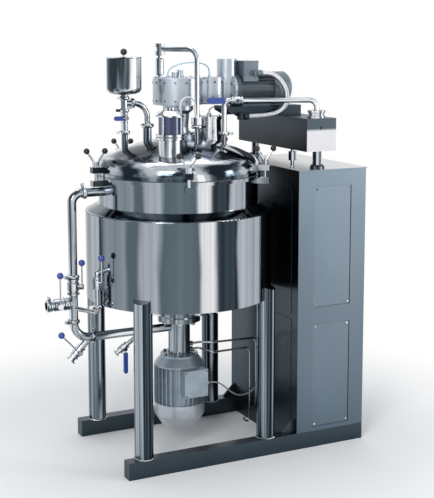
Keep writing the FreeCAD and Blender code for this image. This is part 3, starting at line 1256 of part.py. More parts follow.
def make_service_tubes(jacket_space):
    """Jacket inlet, jacket drain and the two seal water tubes."""
    radius, bore = S.thin_pipe, S.thin_pipe - 1.5
    x, y, z = JACKET_VALVE
    half = VALVE_HALF * JACKET_VALVE_SCALE
    feed_z, entry_z = 915, 1150
    enter = Vector(x, y, 0) * (1 - 70 / math.hypot(x, y))
    drain_start = DRAIN_VALVE - DRAIN * (VALVE_HALF * DRAIN_SCALE)
    spout = DRAIN_VALVE + DRAIN * (VALVE_HALF * DRAIN_SCALE)
    lip = spout + DRAIN * 20
    riser_space = disc("feed_seat", S.pipe_radius + S.gap, 100, at_pot(S.riser_x), 0, feed_z - 50)
    port = S.neck_radius + 18
    foot_x, foot_y = 445, -72
    pieces = [
        cut("jacket_feed", pipe("jacket_feed_pipe", [(at_pot(S.riser_x), 0, feed_z), (at_pot(x), y, feed_z),
                                                     (at_pot(x), y, z - half)], 20, radius, bore),
            [riser_space]),
        cut("jacket_entry", pipe("jacket_entry_pipe", [(at_pot(x), y, z + half), (at_pot(x), y, entry_z),
                                                       (at_pot(enter.x), enter.y, entry_z)], 20, radius, bore),
            [jacket_space]),
        cut("jacket_drain", pipe("jacket_drain_pipe",
                                 [(at_pot(DRAIN_BEND.x), DRAIN_BEND.y, 925),
                                  (at_pot(DRAIN_BEND.x), DRAIN_BEND.y, DRAIN_BEND.z),
                                  (at_pot(drain_start.x), drain_start.y, drain_start.z)], 40, radius, bore),
            [jacket_space]),
        bored("drain_end",
              [disc("drain_spout", radius, 26, at_pot(spout.x), spout.y, spout.z, pointing(DRAIN)),
               disc("drain_lip", 19, 6, at_pot(lip.x), lip.y, lip.z, pointing(DRAIN))],
              [disc("drain_bore", bore, 50, at_pot(spout.x), spout.y, spout.z, pointing(DRAIN))]),
        pipe("seal_tube_upper", [(at_pot(port), -14, SEAL_TUBE_HIGH), (at_pot(140), -14, SEAL_TUBE_HIGH),
                                 (at_pot(200), -50, SEAL_TUBE_HIGH), (at_pot(500), -50, SEAL_TUBE_HIGH - 8),
                                 (at_pot(500), -50, 180)], [30, 30, 34], S.seal_tube),
        pipe("seal_tube_lower", [(at_pot(port), -14, SEAL_TUBE_LOW), (at_pot(124), -14, SEAL_TUBE_LOW),
                                 (at_pot(190), foot_y, 562), (at_pot(foot_x), foot_y, 562),
                                 (at_pot(foot_x), foot_y, 92), (at_pot(foot_x - 36), foot_y, 92),
                                 (at_pot(foot_x - 36), foot_y, 118)], [24, 30, 34, 14, 12], S.seal_tube),
    ]
    node(group("service_tubes", pieces), "service_tubes")


# Stirrers


def anchor_outline(inset, top, bridge):
    """Outline of the anchor, one inset inside the pot, raised over the homogenizer in the middle."""
    crown, knuckle, radius = S.pot_crown, S.pot_knuckle, S.pot_radius
    centre = S.pot_bottom + crown
    meet, level, depth = dish(crown, knuckle, radius, inset)
    tangent = S.pot_bottom + depth
    side, middle = radius - inset, 150
    low = centre - square_root((crown - inset) * (crown - inset) - middle * middle)
    slope = middle - 46
    return [
        (-side, tangent), (-meet, centre - level, knuckle - inset), (-middle, low, crown - inset),
        (-slope, bridge), (slope, bridge), (middle, low), (meet, centre - level, crown - inset),
        (side, tangent, knuckle - inset), (side, top), (-side, top),
    ]


def make_stirrers():
    band, thick, high = S.anchor_band, S.anchor_thick, S.anchor_high
    inset = S.pot_wall + S.anchor_clear
    outer = plate("anchor_outer", anchor_outline(inset, high, S.anchor_bridge - band), thick)
    inner = plate("anchor_inner", anchor_outline(inset + band, high - band, S.anchor_bridge), 3 * thick)
    shaft_low, shaft_top = high - 110, S.drum_low + 60
    shaft = disc("anchor_shaft", S.hollow_shaft, shaft_top - shaft_low, z=shaft_low)
    collar = disc("anchor_collar", S.hollow_shaft + 10, 84, z=high - 86)
    bore = disc("anchor_bore", S.inner_shaft + S.gap, shaft_top - shaft_low + 20, z=shaft_low - 10)
    body = cut("anchor_stirrer", fused("anchor_body", [cut("anchor_frame", outer, [inner]), shaft, collar]), [bore])
    node(place(body, at_pot(0), 0, 0), "anchor_stirrer")

    blades = []
    wide, tall, blade_thick = 34, 110, 8
    reach = S.pot_radius - S.pot_wall - S.scraper_clear
    for side, lows in ((1, (1060, 1230, 1400)), (-1, (1145, 1315, 1470))):
        near = reach - wide if side > 0 else -reach
        front = thick / 2 if side > 0 else -thick / 2 - blade_thick
        for index, low in enumerate(lows):
            blades.append(block("blade_{}_{}".format(side + 1, index), wide, blade_thick, tall, at_pot(near),
                                front, low))
    node(group("wall_scrapers", blades), "wall_scrapers")

    shaft_low, shaft_top = S.anchor_bridge + 30, S.drum_low + 120
    pieces = [disc("paddle_shaft_bar", S.inner_shaft, shaft_top - shaft_low, z=shaft_low)]
    for level, z in enumerate((1040, 1220, 1400)):
        for side in (0, 180):
            turn = heading(side + level * 60).multiply(Rotation(ALONG_X, 45))
            corner = turn.multVec(Vector(10, -4, -30))
            pieces.append(block("paddle_{}_{}".format(level, side), S.paddle_reach - 10, 8, 60, corner.x,
                                corner.y, z + corner.z, turn))
    node(place(fused("paddle_shaft", pieces), at_pot(0), 0, 0), "paddle_shaft")


# Cords


def world(points):
    return [(at_pot(x), y, z) for x, y, z in points]


def make_cords(lamp_route):
    cord("homogenizer_cable", world(MIXER_CABLE), 4.5)
    cord("motor_conduit", world(CONDUIT), 16)
    cord("sight_cable", world(SIGHT_CABLE), 4)
    cord("lamp_cable", world(lamp_route), 3)
    high = number(S.drum_high)
    hose = [HOSE_START + (high + 14,), HOSE_START + (high + 36,), (-76, -66, high + 58), (-46, -86, high + 76),
            (-8, -108, high + 87), (34, -124, high + 91), (76, -124, high + 88), (114, -108, high + 80),
            (146, -84, high + 70), (170, -61, high + 54), HOSE_END + (high + 34,), HOSE_END + (high + 13,)]
    cord("air_hose", world(hose), 4)


make_base()
make_cabinet()
jacket_space = make_jacket()
make_legs(jacket_space)
make_pot()
lid_space = make_lid()
make_clamp_screws()
make_drive(lid_space)
make_bracket()
make_lift()
make_sight_glass(lid_space)
lamp_route = make_lamp(lid_space)
make_hopper()
make_lid_pipes()
make_homogenizer()
make_homogenizer_motor()
make_circulation(jacket_space)
make_service_tubes(jacket_space)
make_stirrers()
make_cords(lamp_route)

doc.recompute()
for item in doc.Objects:
    if "Invalid" in item.State or "Error" in item.State:
        raise RuntimeError("failed: {} {}".format(item.Name, item.State))
for item in nodes:
    if item.Shape.isNull() or not item.Shape.isValid() or not item.Shape.Solids:
        raise RuntimeError("shape not usable: " + item.Label)
for item in nodes:
    item.Shape.exportStep("parts/{}.step".format(item.Label))
print("pieces:", len(nodes))
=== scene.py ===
# %% [markdown]
# # A vacuum emulsifying mixer, dressed for a studio picture
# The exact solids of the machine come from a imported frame. This lesson gives them their
# finishes, adds the small things that solids leave out, such as screws, nuts, grilles and
# weld beads, and hangs the cables. Blender counts in metres in the frame's own axes: the
# pot axis stands at POT_X, the operator is at -Y, and +Z is up. Places are easier to read
# in millimetres from the pot axis and the floor, so a helper, at, turns them into metres.

# %% Load the frame
import json
import math
import bpy
import bmesh
from mathutils import Matrix, Vector


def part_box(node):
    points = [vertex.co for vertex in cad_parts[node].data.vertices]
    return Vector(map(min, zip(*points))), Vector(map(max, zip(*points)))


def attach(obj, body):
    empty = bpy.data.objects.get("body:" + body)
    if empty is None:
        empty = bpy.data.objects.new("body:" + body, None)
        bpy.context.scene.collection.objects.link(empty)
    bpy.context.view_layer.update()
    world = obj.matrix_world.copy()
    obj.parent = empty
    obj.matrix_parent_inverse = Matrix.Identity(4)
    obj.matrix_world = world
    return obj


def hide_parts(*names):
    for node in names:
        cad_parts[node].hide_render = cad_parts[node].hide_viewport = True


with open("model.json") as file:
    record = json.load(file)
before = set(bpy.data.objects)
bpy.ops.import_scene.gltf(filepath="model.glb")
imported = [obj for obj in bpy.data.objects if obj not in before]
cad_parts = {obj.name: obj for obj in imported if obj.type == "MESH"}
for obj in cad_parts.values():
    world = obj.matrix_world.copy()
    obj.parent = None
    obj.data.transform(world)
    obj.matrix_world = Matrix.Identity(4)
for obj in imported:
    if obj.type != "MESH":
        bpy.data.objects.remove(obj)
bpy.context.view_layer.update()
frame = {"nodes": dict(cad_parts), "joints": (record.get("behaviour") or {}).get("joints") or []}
POT_X = -0.1085
NODES = frame["nodes"]
JOINTS = {joint["child"]: joint for joint in frame["joints"]}

# %% [markdown]
# ## The camera comes first
# The photograph was taken from the front left, a little above the lid, with a long lens.
# A small lens shift does part of the looking down, as on a view camera, so the legs and
# the cabinet stay nearly upright. Pixels are converted to Blender's lens length over the
# long side of the picture.

# %% Camera
PICTURE = (434, 498)
SENSOR = 36.0


def at(x, y, z):
    """A place given in millimetres from the pot axis and the floor."""
    return Vector((POT_X + x / 1000, y / 1000, z / 1000))


def make_camera(place, turn, dip, focal_pixels, shift):
    """A camera turned about Z and dipped below the horizon, both in radians."""
    camera = bpy.data.cameras.new("camera")
    camera.sensor_width = SENSOR
    camera.lens = focal_pixels * SENSOR / max(PICTURE)
    camera.shift_y = shift
    camera.clip_end = 100
    holder = bpy.data.objects.new("camera", camera)
    bpy.context.scene.collection.objects.link(holder)
    holder.location = place
    holder.rotation_euler = (math.pi / 2 - dip, 0, -turn)
    bpy.context.scene.camera = holder
    return holder


make_camera(at(-2740, -6039, 2491), turn=0.4605, dip=0.1345, focal_pixels=1126.5, shift=-0.13)
print("lens:", round(bpy.context.scene.camera.data.lens, 1), "mm")

# %% [markdown]
# ## A bench of small tools
# A finish in Blender is a graph of nodes. These helpers keep such a graph short to write:
# one makes a shader, one adds a node and wires its inputs, and the others stand for the
# nodes that come back in every finish. A texture that reads object coordinates stays on
# its piece when the piece moves.

# %% Shader helpers
def new_finish(name, rough=0.5, metal=0.0, coat=0.0):
    """A material, its node tree and its main shader."""
    material = bpy.data.materials.new(name)
    material.use_nodes = True
    shader = material.node_tree.nodes["Principled BSDF"]
    shader.inputs["Roughness"].default_value = rough
    shader.inputs["Metallic"].default_value = metal
    shader.inputs["Coat Weight"].default_value = coat
    return material, material.node_tree, shader


def add(tree, kind, settings=None, **wires):
    """One node, its settings, and what feeds its inputs: a value or another node's output.

    An input goes by its label, or by i and its number.
    """
    item = tree.nodes.new(kind)
    for key, value in (settings or {}).items():
        setattr(item, key, value)
    for key, source in wires.items():
        numbered = key[0] == "i" and key[1:].isdigit()
        socket = item.inputs[int(key[1:])] if numbered else item.inputs[key]
        if isinstance(source, bpy.types.NodeSocket):
            tree.links.new(source, socket)
        else:
            socket.default_value = source
    return item


def reckon(tree, operation, *sources):
    """One step of arithmetic on values or other nodes' outputs."""
    wires = {"i{}".format(index): source for index, source in enumerate(sources)}
    return add(tree, "ShaderNodeMath", {"operation": operation}, **wires).outputs[0]


def ramp(tree, source, stops):
    """A colour ramp: stops are (position, colour)."""
    item = add(tree, "ShaderNodeValToRGB", i0=source)
    band = item.color_ramp
    while len(band.elements) < len(stops):
        band.elements.new(0.5)
    for element, (position, colour) in zip(band.elements, stops):
        element.position = position
        element.color = (*colour, 1)
    return item.outputs[0]


def coordinates(tree, output):
    """The piece's own coordinates: Object for places, Normal for the way a face looks."""
    return add(tree, "ShaderNodeTexCoord").outputs[output]


def mapped(tree, vector, move=(0, 0, 0), scale=(1, 1, 1)):
    """Coordinates scaled first and then moved."""
    return add(tree, "ShaderNodeMapping", i0=vector, i1=move, i3=scale).outputs[0]


def stretched(tree, scale):
    """Places on the piece, stretched to give a grain its direction."""
    return mapped(tree, coordinates(tree, "Object"), scale=scale)


def noise(tree, place, size, detail=2.0, rough=0.5):
    item = add(tree, "ShaderNodeTexNoise", Vector=place, Scale=size, Detail=detail, Roughness=rough)
    return item.outputs[0]


def spread(tree, source, low, high):
    """A texture's middle range, mapped to a range of the shader."""
    item = add(tree, "ShaderNodeMapRange", i0=source, i1=0.3, i2=0.7, i3=low, i4=high)
    return item.outputs[0]


def climb(tree, source, start, end, way="LINEAR"):
    """A share that climbs from 0 to 1 while the source goes from start to end."""
    item = add(tree, "ShaderNodeMapRange", {"interpolation_type": way}, i0=source, i1=start, i2=end)
    return item.outputs[0]


def bump(tree, shader, source, height, strength):
    item = add(tree, "ShaderNodeBump", Strength=strength, Distance=height, Height=source)
    tree.links.new(item.outputs[0], shader.inputs["Normal"])


def blend_colours(tree, share, first, second):
    item = add(tree, "ShaderNodeMix", {"data_type": "RGBA"}, i0=share, i6=first, i7=second)
    return item.outputs[2]


# %% [markdown]
# ## Polished stainless steel
# Mirror-polished sheet shows its surroundings as sharp dark and light streaks. On a tube
# or a pot they run along it, because the surface looks the same way all along. These
# reflections are painted into the colour here. The tone is drawn from the direction that
# the surface faces, in the piece's own axes: one noise gives broad streaks, a finer one
# breaks them up, and a list of bands turns the sum into painted dark, grey and bright
# reflections. The metal still reflects the lamps and the white room on top of that. A
# faint grain in the roughness keeps it from looking wet.

# %% Polished steel
# Tones of the painted reflections in polished steel, from a dark reflection up to GLARE, a painted
# highlight.
DARK_REFLECTION = (0.014, 0.020, 0.027)
SLATE = (0.085, 0.120, 0.145)
PEWTER = (0.25, 0.29, 0.33)
SILVER = (0.45, 0.48, 0.53)
GLARE = (0.90, 0.91, 0.93)
STUDIO_BANDS = [
    (0.55, DARK_REFLECTION), (0.605, SLATE), (0.655, PEWTER), (0.70, SILVER), (0.78, SILVER), (0.82, GLARE)]
# Darker painted reflections with painted shade, for steel that stands in shade.
DIM_BANDS = [
    (0.55, DARK_REFLECTION), (0.61, (0.06, 0.082, 0.10)), (0.68, (0.15, 0.19, 0.22)),
    (0.76, (0.30, 0.35, 0.385)), (0.84, SILVER)]
# Brighter painted reflections, for the tubes and fittings.
BRIGHT_BANDS = [
    (0.52, (0.03, 0.04, 0.05)), (0.59, (0.16, 0.20, 0.23)), (0.66, (0.42, 0.46, 0.50)),
    (0.74, (0.70, 0.73, 0.76)), (0.82, GLARE)]
# Both noises lie round 0.5, and this lifts their sum to the middle of the bands.
BAND_LEVEL = 0.16


def sheet_surface(tree, shader, rough, dents):
    """A fine grain in the roughness and slow shallow dents, as on all rolled sheet."""
    grain = noise(tree, stretched(tree, (120, 120, 900)), 1.0, 3)
    tree.links.new(spread(tree, grain, rough * 0.75, rough * 1.35), shader.inputs["Roughness"])
    bump(tree, shader, noise(tree, stretched(tree, (5, 5, 5)), 1.0, 1), 0.002, dents)


def polished(name, bands, streak, offset, rough, wander=(0.8, 0.8, 0.35), fine=9.0, fine_share=0.32):
    """Mirror steel with painted reflections, in streaks that follow the way that the surface faces.

    streak and fine are the sizes of the two noises, offset picks another part of them, and
    wander lets the streaks drift with the place on the piece.
    """
    material, tree, shader = new_finish(name, rough, 1.0)
    facing = mapped(tree, coordinates(tree, "Normal"), (offset, offset * 0.7, 0), (1, 1, 0.55))
    place = stretched(tree, wander)
    mixed = add(tree, "ShaderNodeVectorMath", {"operation": "ADD"}, i0=facing, i1=place).outputs[0]
    broad = noise(tree, mixed, streak, 1.5, 0.45)
    thin = noise(tree, mixed, fine, 2.0, 0.5)
    level = reckon(tree, "ADD", broad, BAND_LEVEL - fine_share / 2)
    joined = reckon(tree, "MULTIPLY_ADD", thin, fine_share, level)
    # The bands paint the reflections into the base colour.
    tree.links.new(ramp(tree, joined, bands), shader.inputs["Base Color"])
    sheet_surface(tree, shader, rough, 0.12)
    return material


# Each finish paints the reflections of its steel into its colour.
LID = polished("lid_mirror", STUDIO_BANDS, 1.9, 1.3, 0.10, (0.9, 0.9, 0.5), fine=6.5, fine_share=0.2)
PIPE = polished("pipe_polish", BRIGHT_BANDS, 1.9, 2.1, 0.15)
FITTING = polished("fitting_polish", BRIGHT_BANDS, 1.8, 4.2, 0.20)
# Darker copies for the homogenizer housing, the column bushes and the legs: painted shade over the painted
# reflections.
SHADED = polished("shaded_polish", DIM_BANDS, 1.8, 6.3, 0.18)
LEG = polished("leg_polish", DIM_BANDS, 2.4, 5.0, 0.16, (0.3, 0.3, 0.08))
CHROME = polished("column_chrome", STUDIO_BANDS, 2.4, 3.1, 0.06, (0.1, 0.1, 0.05))
print("polished finishes: 6")

# %% [markdown]
# ## A mirror that stands upright
# The jacket is rolled from one polished sheet, and every part of a rolled sheet that faces
# the same way shows the same thing. So its reflection is painted into its colour as a set
# of upright bands: a bright window, a dark door, a grey wall. The band is picked by the
# heading of the surface, which is the arctangent of its normal. The headings are folded at
# half a turn, so the far side has the same bands. A little noise bends their edges, as
# real sheet does, and thin dark streaks are painted reflections too. The sloped shoulder
# looks up, so it takes its painted reflection from a list of its own, and flat steel is
# plain.

# %% Upright mirror
# Headings are in degrees over half a turn. SWAY is how far the edges bend, as a share of it.
# ROOM is the painted reflection of the room, as bands of tone by heading.
ROOM = [
    (0, SLATE), (21, SLATE), (23, PEWTER), (29, SILVER), (41, SILVER), (42, SLATE), (43, PEWTER),
    (58, PEWTER), (60, SLATE), (66, SLATE), (70, SILVER), (80, SILVER), (83, SLATE),
    (94, (0.13, 0.17, 0.19)), (104, SLATE), (106, GLARE), (113, GLARE), (115, DARK_REFLECTION), (128, DARK_REFLECTION),
    (131, SILVER), (160, SILVER), (172, PEWTER), (176, SLATE), (180, SLATE)]
ROOM_TURN = 206.4
SWAY = 0.06
SHOULDER_BANDS = [(0.44, DARK_REFLECTION), (0.52, SLATE), (0.58, PEWTER), (0.61, GLARE)]


def upright_mirror(name, rough):
    """Mirror sheet whose painted reflection bands stand upright, picked by the heading of the surface."""
    material, tree, shader = new_finish(name, rough, 1.0)
    facing = coordinates(tree, "Normal")
    along_x, along_y, upward = add(tree, "ShaderNodeSeparateXYZ", i0=facing).outputs
    heading = reckon(tree, "ARCTAN2", along_y, along_x)
    bent = noise(tree, stretched(tree, (5, 5, 1.2)), 1.0, 2)
    folded = reckon(tree, "MULTIPLY_ADD", heading, 1 / math.pi, ROOM_TURN / 180 - SWAY / 2)
    share = reckon(tree, "FRACT", reckon(tree, "MULTIPLY_ADD", bent, SWAY, folded))
    tone = ramp(tree, share, [(turn / 180, colour) for turn, colour in ROOM])
    streak = noise(tree, mapped(tree, facing, scale=(1, 1, 0.3)), 16, 3)
    # Thin dark streaks: painted reflections.
    tone = blend_colours(tree, spread(tree, streak, 0.0, 0.55), tone, (*SLATE, 1))
    sky = noise(tree, mapped(tree, facing, move=(3.1, 0.4, 0)), 2.6, 2.0)
    # The shoulder's painted reflection of the room above it.
    tone = blend_colours(tree, climb(tree, upward, 0.25, 0.6), tone, ramp(tree, sky, SHOULDER_BANDS))
    tone = blend_colours(tree, climb(tree, upward, 0.9, 0.98), tone, (*SILVER, 1))
    tree.links.new(tone, shader.inputs["Base Color"])
    sheet_surface(tree, shader, rough, 0.10)
    return material


JACKET = upright_mirror("jacket_mirror", 0.08)
print("bands on the jacket:", len(ROOM))

# %% [markdown]
# ## Ground sheet metal
# The cabinet, the skids and the panels are folded sheet with a ground finish: a fine
# grain and a soft cool grey. A slow change of tone from edge to edge is painted light and
# shade on top of that. A noise that is much denser across the sheet than along it gives
# the grain.

# %% Ground steel
GRAIN_ALONG_X = (30, 900, 900)
GRAIN_ALONG_Y = (900, 30, 900)
GRAIN_ALONG_Z = (900, 900, 30)


def ground(name, low, high, density=GRAIN_ALONG_Z, rough=0.36, fade=(0.0, 1.7), across=0.0):
    """Sheet steel whose tone goes from low to high over the heights in fade, as painted shade and light.

    across slants that change: it is the height gained for each metre towards +X.
    """
    material, tree, shader = new_finish(name, rough, 1.0)
    along_x, _, upward = add(tree, "ShaderNodeSeparateXYZ", i0=coordinates(tree, "Object")).outputs
    # The change of tone with height is painted light and shade.
    height = climb(tree, reckon(tree, "MULTIPLY_ADD", along_x, across, upward), *fade)
    cloud = noise(tree, stretched(tree, (2.2, 2.2, 1.1)), 1.0, 3)
    share = reckon(tree, "MULTIPLY_ADD", cloud, 0.5, height)
    tone = ramp(tree, share, [(0.15, low), (1.0, high)])
    grain = noise(tree, stretched(tree, density), 1.0, 2)
    lines = spread(tree, grain, 0.0, 0.14)
    tree.links.new(blend_colours(tree, lines, tone, (0.02, 0.03, 0.04, 1)), shader.inputs["Base Color"])
    tree.links.new(spread(tree, grain, rough - 0.06, rough + 0.08), shader.inputs["Roughness"])
    bump(tree, shader, grain, 0.0003, 0.25)
    return material


# Painted light and shade in these tones: the cabinet front and its panels are darker towards the lower left,
# the skids and the crossbeam are darker towards the bottom, and the drive's machined parts are lighter
# towards the top. The crossbeam's end carries a painted highlight, bright below and dark above.
CABINET = ground("cabinet_ground", (0.075, 0.110, 0.145), (0.22, 0.28, 0.335), across=0.5, fade=(0.0, 2.3))
PANEL = ground("panel_ground", (0.10, 0.145, 0.185), (0.235, 0.295, 0.355), across=0.5, fade=(0.2, 2.1))
# The side that faces the pot: painted shade, darker towards the top.
SHADED_SIDE = ground("cabinet_side_shade", (0.055, 0.080, 0.102), (0.030, 0.044, 0.058), rough=0.28)
# The cabinet top: a lighter copy of the sheet, a painted light.
LIT_TOP = ground("cabinet_top", (0.58, 0.60, 0.61), (0.68, 0.69, 0.70), (6, 700, 6), fade=(0, 1))
SKID = ground("skid_ground", (0.040, 0.057, 0.072), (0.075, 0.10, 0.12), GRAIN_ALONG_X, fade=(0.0, 0.2))
BEAM = ground("beam_ground", (0.012, 0.018, 0.024), (0.04, 0.055, 0.07), GRAIN_ALONG_Y, fade=(1.8, 2.0))
# The crossbeam's mirrored end: a painted highlight below, dark above.
BEAM_END = ground("beam_end_mirror", (0.86, 0.86, 0.90), (0.10, 0.13, 0.15), rough=0.16,
                  fade=(1.915, 1.935))
MACHINED = ground("machined_ground", (0.26, 0.31, 0.36), (0.46, 0.51, 0.57), rough=0.3, fade=(1.9, 2.3))
print("ground finishes: 8")

# %% [markdown]
# ## Paint, plastic, rubber and glass
# Motors are cast and painted in greys, so they get a slight orange-peel bump. Ball knobs
# are glossy moulded plastic, and cable jackets are a duller one with a finer grain. The
# conduit is wound from metal strip, so it is ground metal with a grain in all directions.

# %% Other finishes
def painted(name, colour, metal, rough=0.34):
    """Metallic paint: metal is the share of flakes in it."""
    material, tree, shader = new_finish(name, rough, metal, 0.15)
    cloud = noise(tree, stretched(tree, (9, 9, 9)), 1.0, 4)
    darker = tuple(c * 0.72 for c in colour)
    tree.links.new(ramp(tree, cloud, [(0.3, darker), (0.7, colour)]), shader.inputs["Base Color"])
    peel = noise(tree, stretched(tree, (420, 420, 420)), 1.0, 2)
    tree.links.new(spread(tree, peel, rough - 0.07, rough + 0.1), shader.inputs["Roughness"])
    bump(tree, shader, peel, 0.0006, 0.3)
    return material


def moulded(name, colour, rough, grain=160, coat=0.3):
    """Plastic or rubber, a little cloudy, with a fine grain."""
    material, tree, shader = new_finish(name, rough, 0.0, coat)
    cloud = noise(tree, stretched(tree, (grain, grain, grain)), 1.0, 2)
    lighter = tuple(min(1, c * 1.5 + 0.004) for c in colour)
    tree.links.new(ramp(tree, cloud, [(0.3, colour), (0.8, lighter)]), shader.inputs["Base Color"])
    tree.links.new(spread(tree, cloud, rough, rough + 0.15), shader.inputs["Roughness"])
    bump(tree, shader, cloud, 0.0003, 0.2)
    return material


MOTOR = painted("motor_silver", (0.36, 0.435, 0.50), 0.6)
COWL = painted("cowl_silver", (0.60, 0.65, 0.70), 0.5)
DRIVE_MOTOR = painted("drive_motor_grey", (0.085, 0.112, 0.135), 0.5)
DRIVE_BOX = painted("drive_box_grey", (0.17, 0.215, 0.255), 0.4)
DRIVE_COWL = painted("drive_cowl_grey", (0.17, 0.215, 0.25), 0.5)
BLACK = moulded("knob_black", (0.003, 0.003, 0.004), 0.16, coat=0.0)
BLUE = moulded("grip_blue", (0.018, 0.045, 0.24), 0.3)
CABLE = moulded("cable_black", (0.010, 0.010, 0.011), 0.5, 300, 0.0)
GREY_CABLE = moulded("cable_grey", (0.20, 0.225, 0.245), 0.3, 300, 0.1)
WHITE_CABLE = moulded("cable_white", (0.62, 0.63, 0.62), 0.45, 300, 0.0)
HOSE = moulded("hose_clear_blue", (0.30, 0.50, 0.58), 0.3, 300, 0.2)
RUBBER = moulded("seal_rubber", (0.02, 0.02, 0.02), 0.6, 240, 0.0)
SILICONE = moulded("seal_silicone", (0.06, 0.065, 0.07), 0.5, 240, 0.0)
NYLON = moulded("scraper_nylon", (0.70, 0.70, 0.66), 0.45, 120, 0.0)
CONDUIT = ground("conduit_metal", (0.42, 0.45, 0.48), (0.62, 0.64, 0.67), (90, 90, 90), rough=0.34)
# Painted reflections of the sight glass, from dark blue to pale streaks.
GLASS_BANDS = [
    (0.40, (0.008, 0.012, 0.03)), (0.50, (0.03, 0.05, 0.16)), (0.58, (0.10, 0.14, 0.36)),
    (0.66, (0.55, 0.62, 0.78))]


def make_glass():
    """A thick glass tube whose colour is a painted reflection: dark blue with upright streaks of light."""
    material, tree, shader = new_finish("sight_glass_clear", 0.04, 0.0, 0.5)
    shader.inputs["Transmission Weight"].default_value = 0.35
    shader.inputs["IOR"].default_value = 1.47
    streak = noise(tree, mapped(tree, coordinates(tree, "Normal"), scale=(1, 1, 0.2)), 4.5, 2)
    tree.links.new(ramp(tree, streak, GLASS_BANDS), shader.inputs["Base Color"])
    smears = noise(tree, stretched(tree, (40, 40, 15)), 1.0, 3)
    tree.links.new(spread(tree, smears, 0.02, 0.12), shader.inputs["Roughness"])
    return material


GLASS = make_glass()
print("paint, plastic, rubber and glass: ready")

# %% [markdown]
# ## Dress the solids
# Each solid of the frame keeps its mesh and gets a finish. Faces that meet at a shallow
# angle are shaded as one smooth surface, the rest keep a crisp edge.

# %% Finishes of the CAD nodes
CREASE = math.radians(28)


def smooth(mesh):
    """Smooth faces, with a crisp edge wherever they meet at more than CREASE."""
    mesh.shade_smooth()
    mesh.set_sharp_from_angle(angle=CREASE)


def dress(node, material):
    """One finish for a whole solid."""
    mesh = NODES[node].data
    mesh.materials.clear()
    mesh.materials.append(material)
    for face in mesh.polygons:
        face.material_index = 0
    smooth(mesh)


FINISHES = {
    JACKET: "insulation_jacket vessel_pot",
    LID: "lid_shell",
    PIPE: "circulation_riser circulation_inlet vacuum_pipe vent_pipe service_tubes charge_hopper",
    FITTING: "lid_valve_bodies vessel_valve_bodies lid_pipe_clamps vessel_pipe_clamps hopper_cover "
             "lamp_housing sight_glass_frame circulation_valve_lever branch_valve_lever "
             "discharge_valve_lever jacket_valve_lever drain_valve_lever vacuum_valve_lever "
             "hopper_valve_lever clamp_screw_1 clamp_screw_2 clamp_screw_3 clamp_screw_4 clamp_screw_5 "
             "anchor_stirrer paddle_shaft homogenizer_rotor homogenizer_stator",
    SHADED: "homogenizer_housing column_bushes",
    LEG: "legs",
    CHROME: "lift_columns",
    CABINET: "cabinet_shell",
    PANEL: "access_panels",
    SKID: "skid_front skid_rear cross_members",
    BEAM: "crossbeam motor_bracket",
    MACHINED: "planetary_drum drive_pedestal gear_neck",
    MOTOR: "homogenizer_motor homogenizer_terminal_box",
    DRIVE_BOX: "stirrer_terminal_box",
    COWL: "homogenizer_fan_cowl",
    DRIVE_COWL: "stirrer_fan_cowl",
    DRIVE_MOTOR: "stirrer_motor",
    SILICONE: "lid_gasket",
    NYLON: "wall_scrapers",
    GLASS: "sight_glass",
    CABLE: "lamp_cable",
    GREY_CABLE: "homogenizer_cable",
    WHITE_CABLE: "sight_cable",
    HOSE: "air_hose",
    CONDUIT: "motor_conduit",
}
for material, names in FINISHES.items():
    for name in names.split():
        dress(name, material)
print("solids dressed:", sum(len(names.split()) for names in FINISHES.values()))

# %% [markdown]
# ## Faces in a second finish
# A black ball and its steel arm are one solid, but they are seen in two finishes. The
# faces of the ball are picked by where they lie, and take a second material slot. On a
# lever the test is the distance from the axis that it turns about, so the ball or sleeve
# at its end is found whichever way the lever points.

# %% Second finishes
SQUARE_ON = 0.9
TOP_SHEET = 1.687
BEAM_END_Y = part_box("crossbeam")[0].y + 0.012
BEAM_TOP = 1.992
KNOB_LOW = 2.362
BALLS_TALL = 0.0352


def dress_where(node, material, chosen):
    """Give a second finish to the faces that the test chooses."""
    mesh = NODES[node].data
    mesh.materials.append(material)
    slot = len(mesh.materials) - 1
    count = 0
    for face in mesh.polygons:
        if chosen(face):
            face.material_index = slot
            count += 1
    print("{}: {} faces in {}".format(node, count, material.name))


# The side of the cabinet that faces the pot takes a darker copy of the sheet: painted shade.
dress_where("cabinet_shell", SHADED_SIDE, lambda face: face.normal.x < -SQUARE_ON)
# The cabinet's upward faces take a lighter copy of the sheet: painted light.
dress_where("cabinet_shell", LIT_TOP, lambda face: face.normal.z > SQUARE_ON and face.center.z > TOP_SHEET)
# The crossbeam's front end takes a painted highlight on its lower part.
dress_where("crossbeam", BEAM_END, lambda face: face.center.y < BEAM_END_Y)
dress_where("crossbeam", FITTING, lambda face: face.center.z > BEAM_TOP)
dress_where("hopper_cover", BLACK, lambda face: face.center.z > KNOB_LOW)
for name in [node for node in NODES if node.startswith("clamp_screw_")]:
    balls_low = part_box(name)[1].z - BALLS_TALL
    dress_where(name, BLACK, lambda face: face.center.z > balls_low)

# %% Blue grips
# Where each lever's ball or sleeve starts, in metres from its axis.
GRIP_STARTS = {"circulation": 0.119, "branch": 0.159, "discharge": 0.142, "jacket": 0.125,
               "drain": 0.021, "vacuum": 0.0735, "hopper": 0.0215}


def reach_of(face, joint):
    """How far a face's middle lies from the axis of a joint."""
    axis = Vector(joint["axis"]).normalized()
    arm = face.center - Vector(joint["pos_m"])
    return (arm - axis * arm.dot(axis)).length


for valve, start in GRIP_STARTS.items():
    hinge = JOINTS[valve + "_lever"]
    dress_where(valve + "_valve_lever", BLUE, lambda face: reach_of(face, hinge) > start)

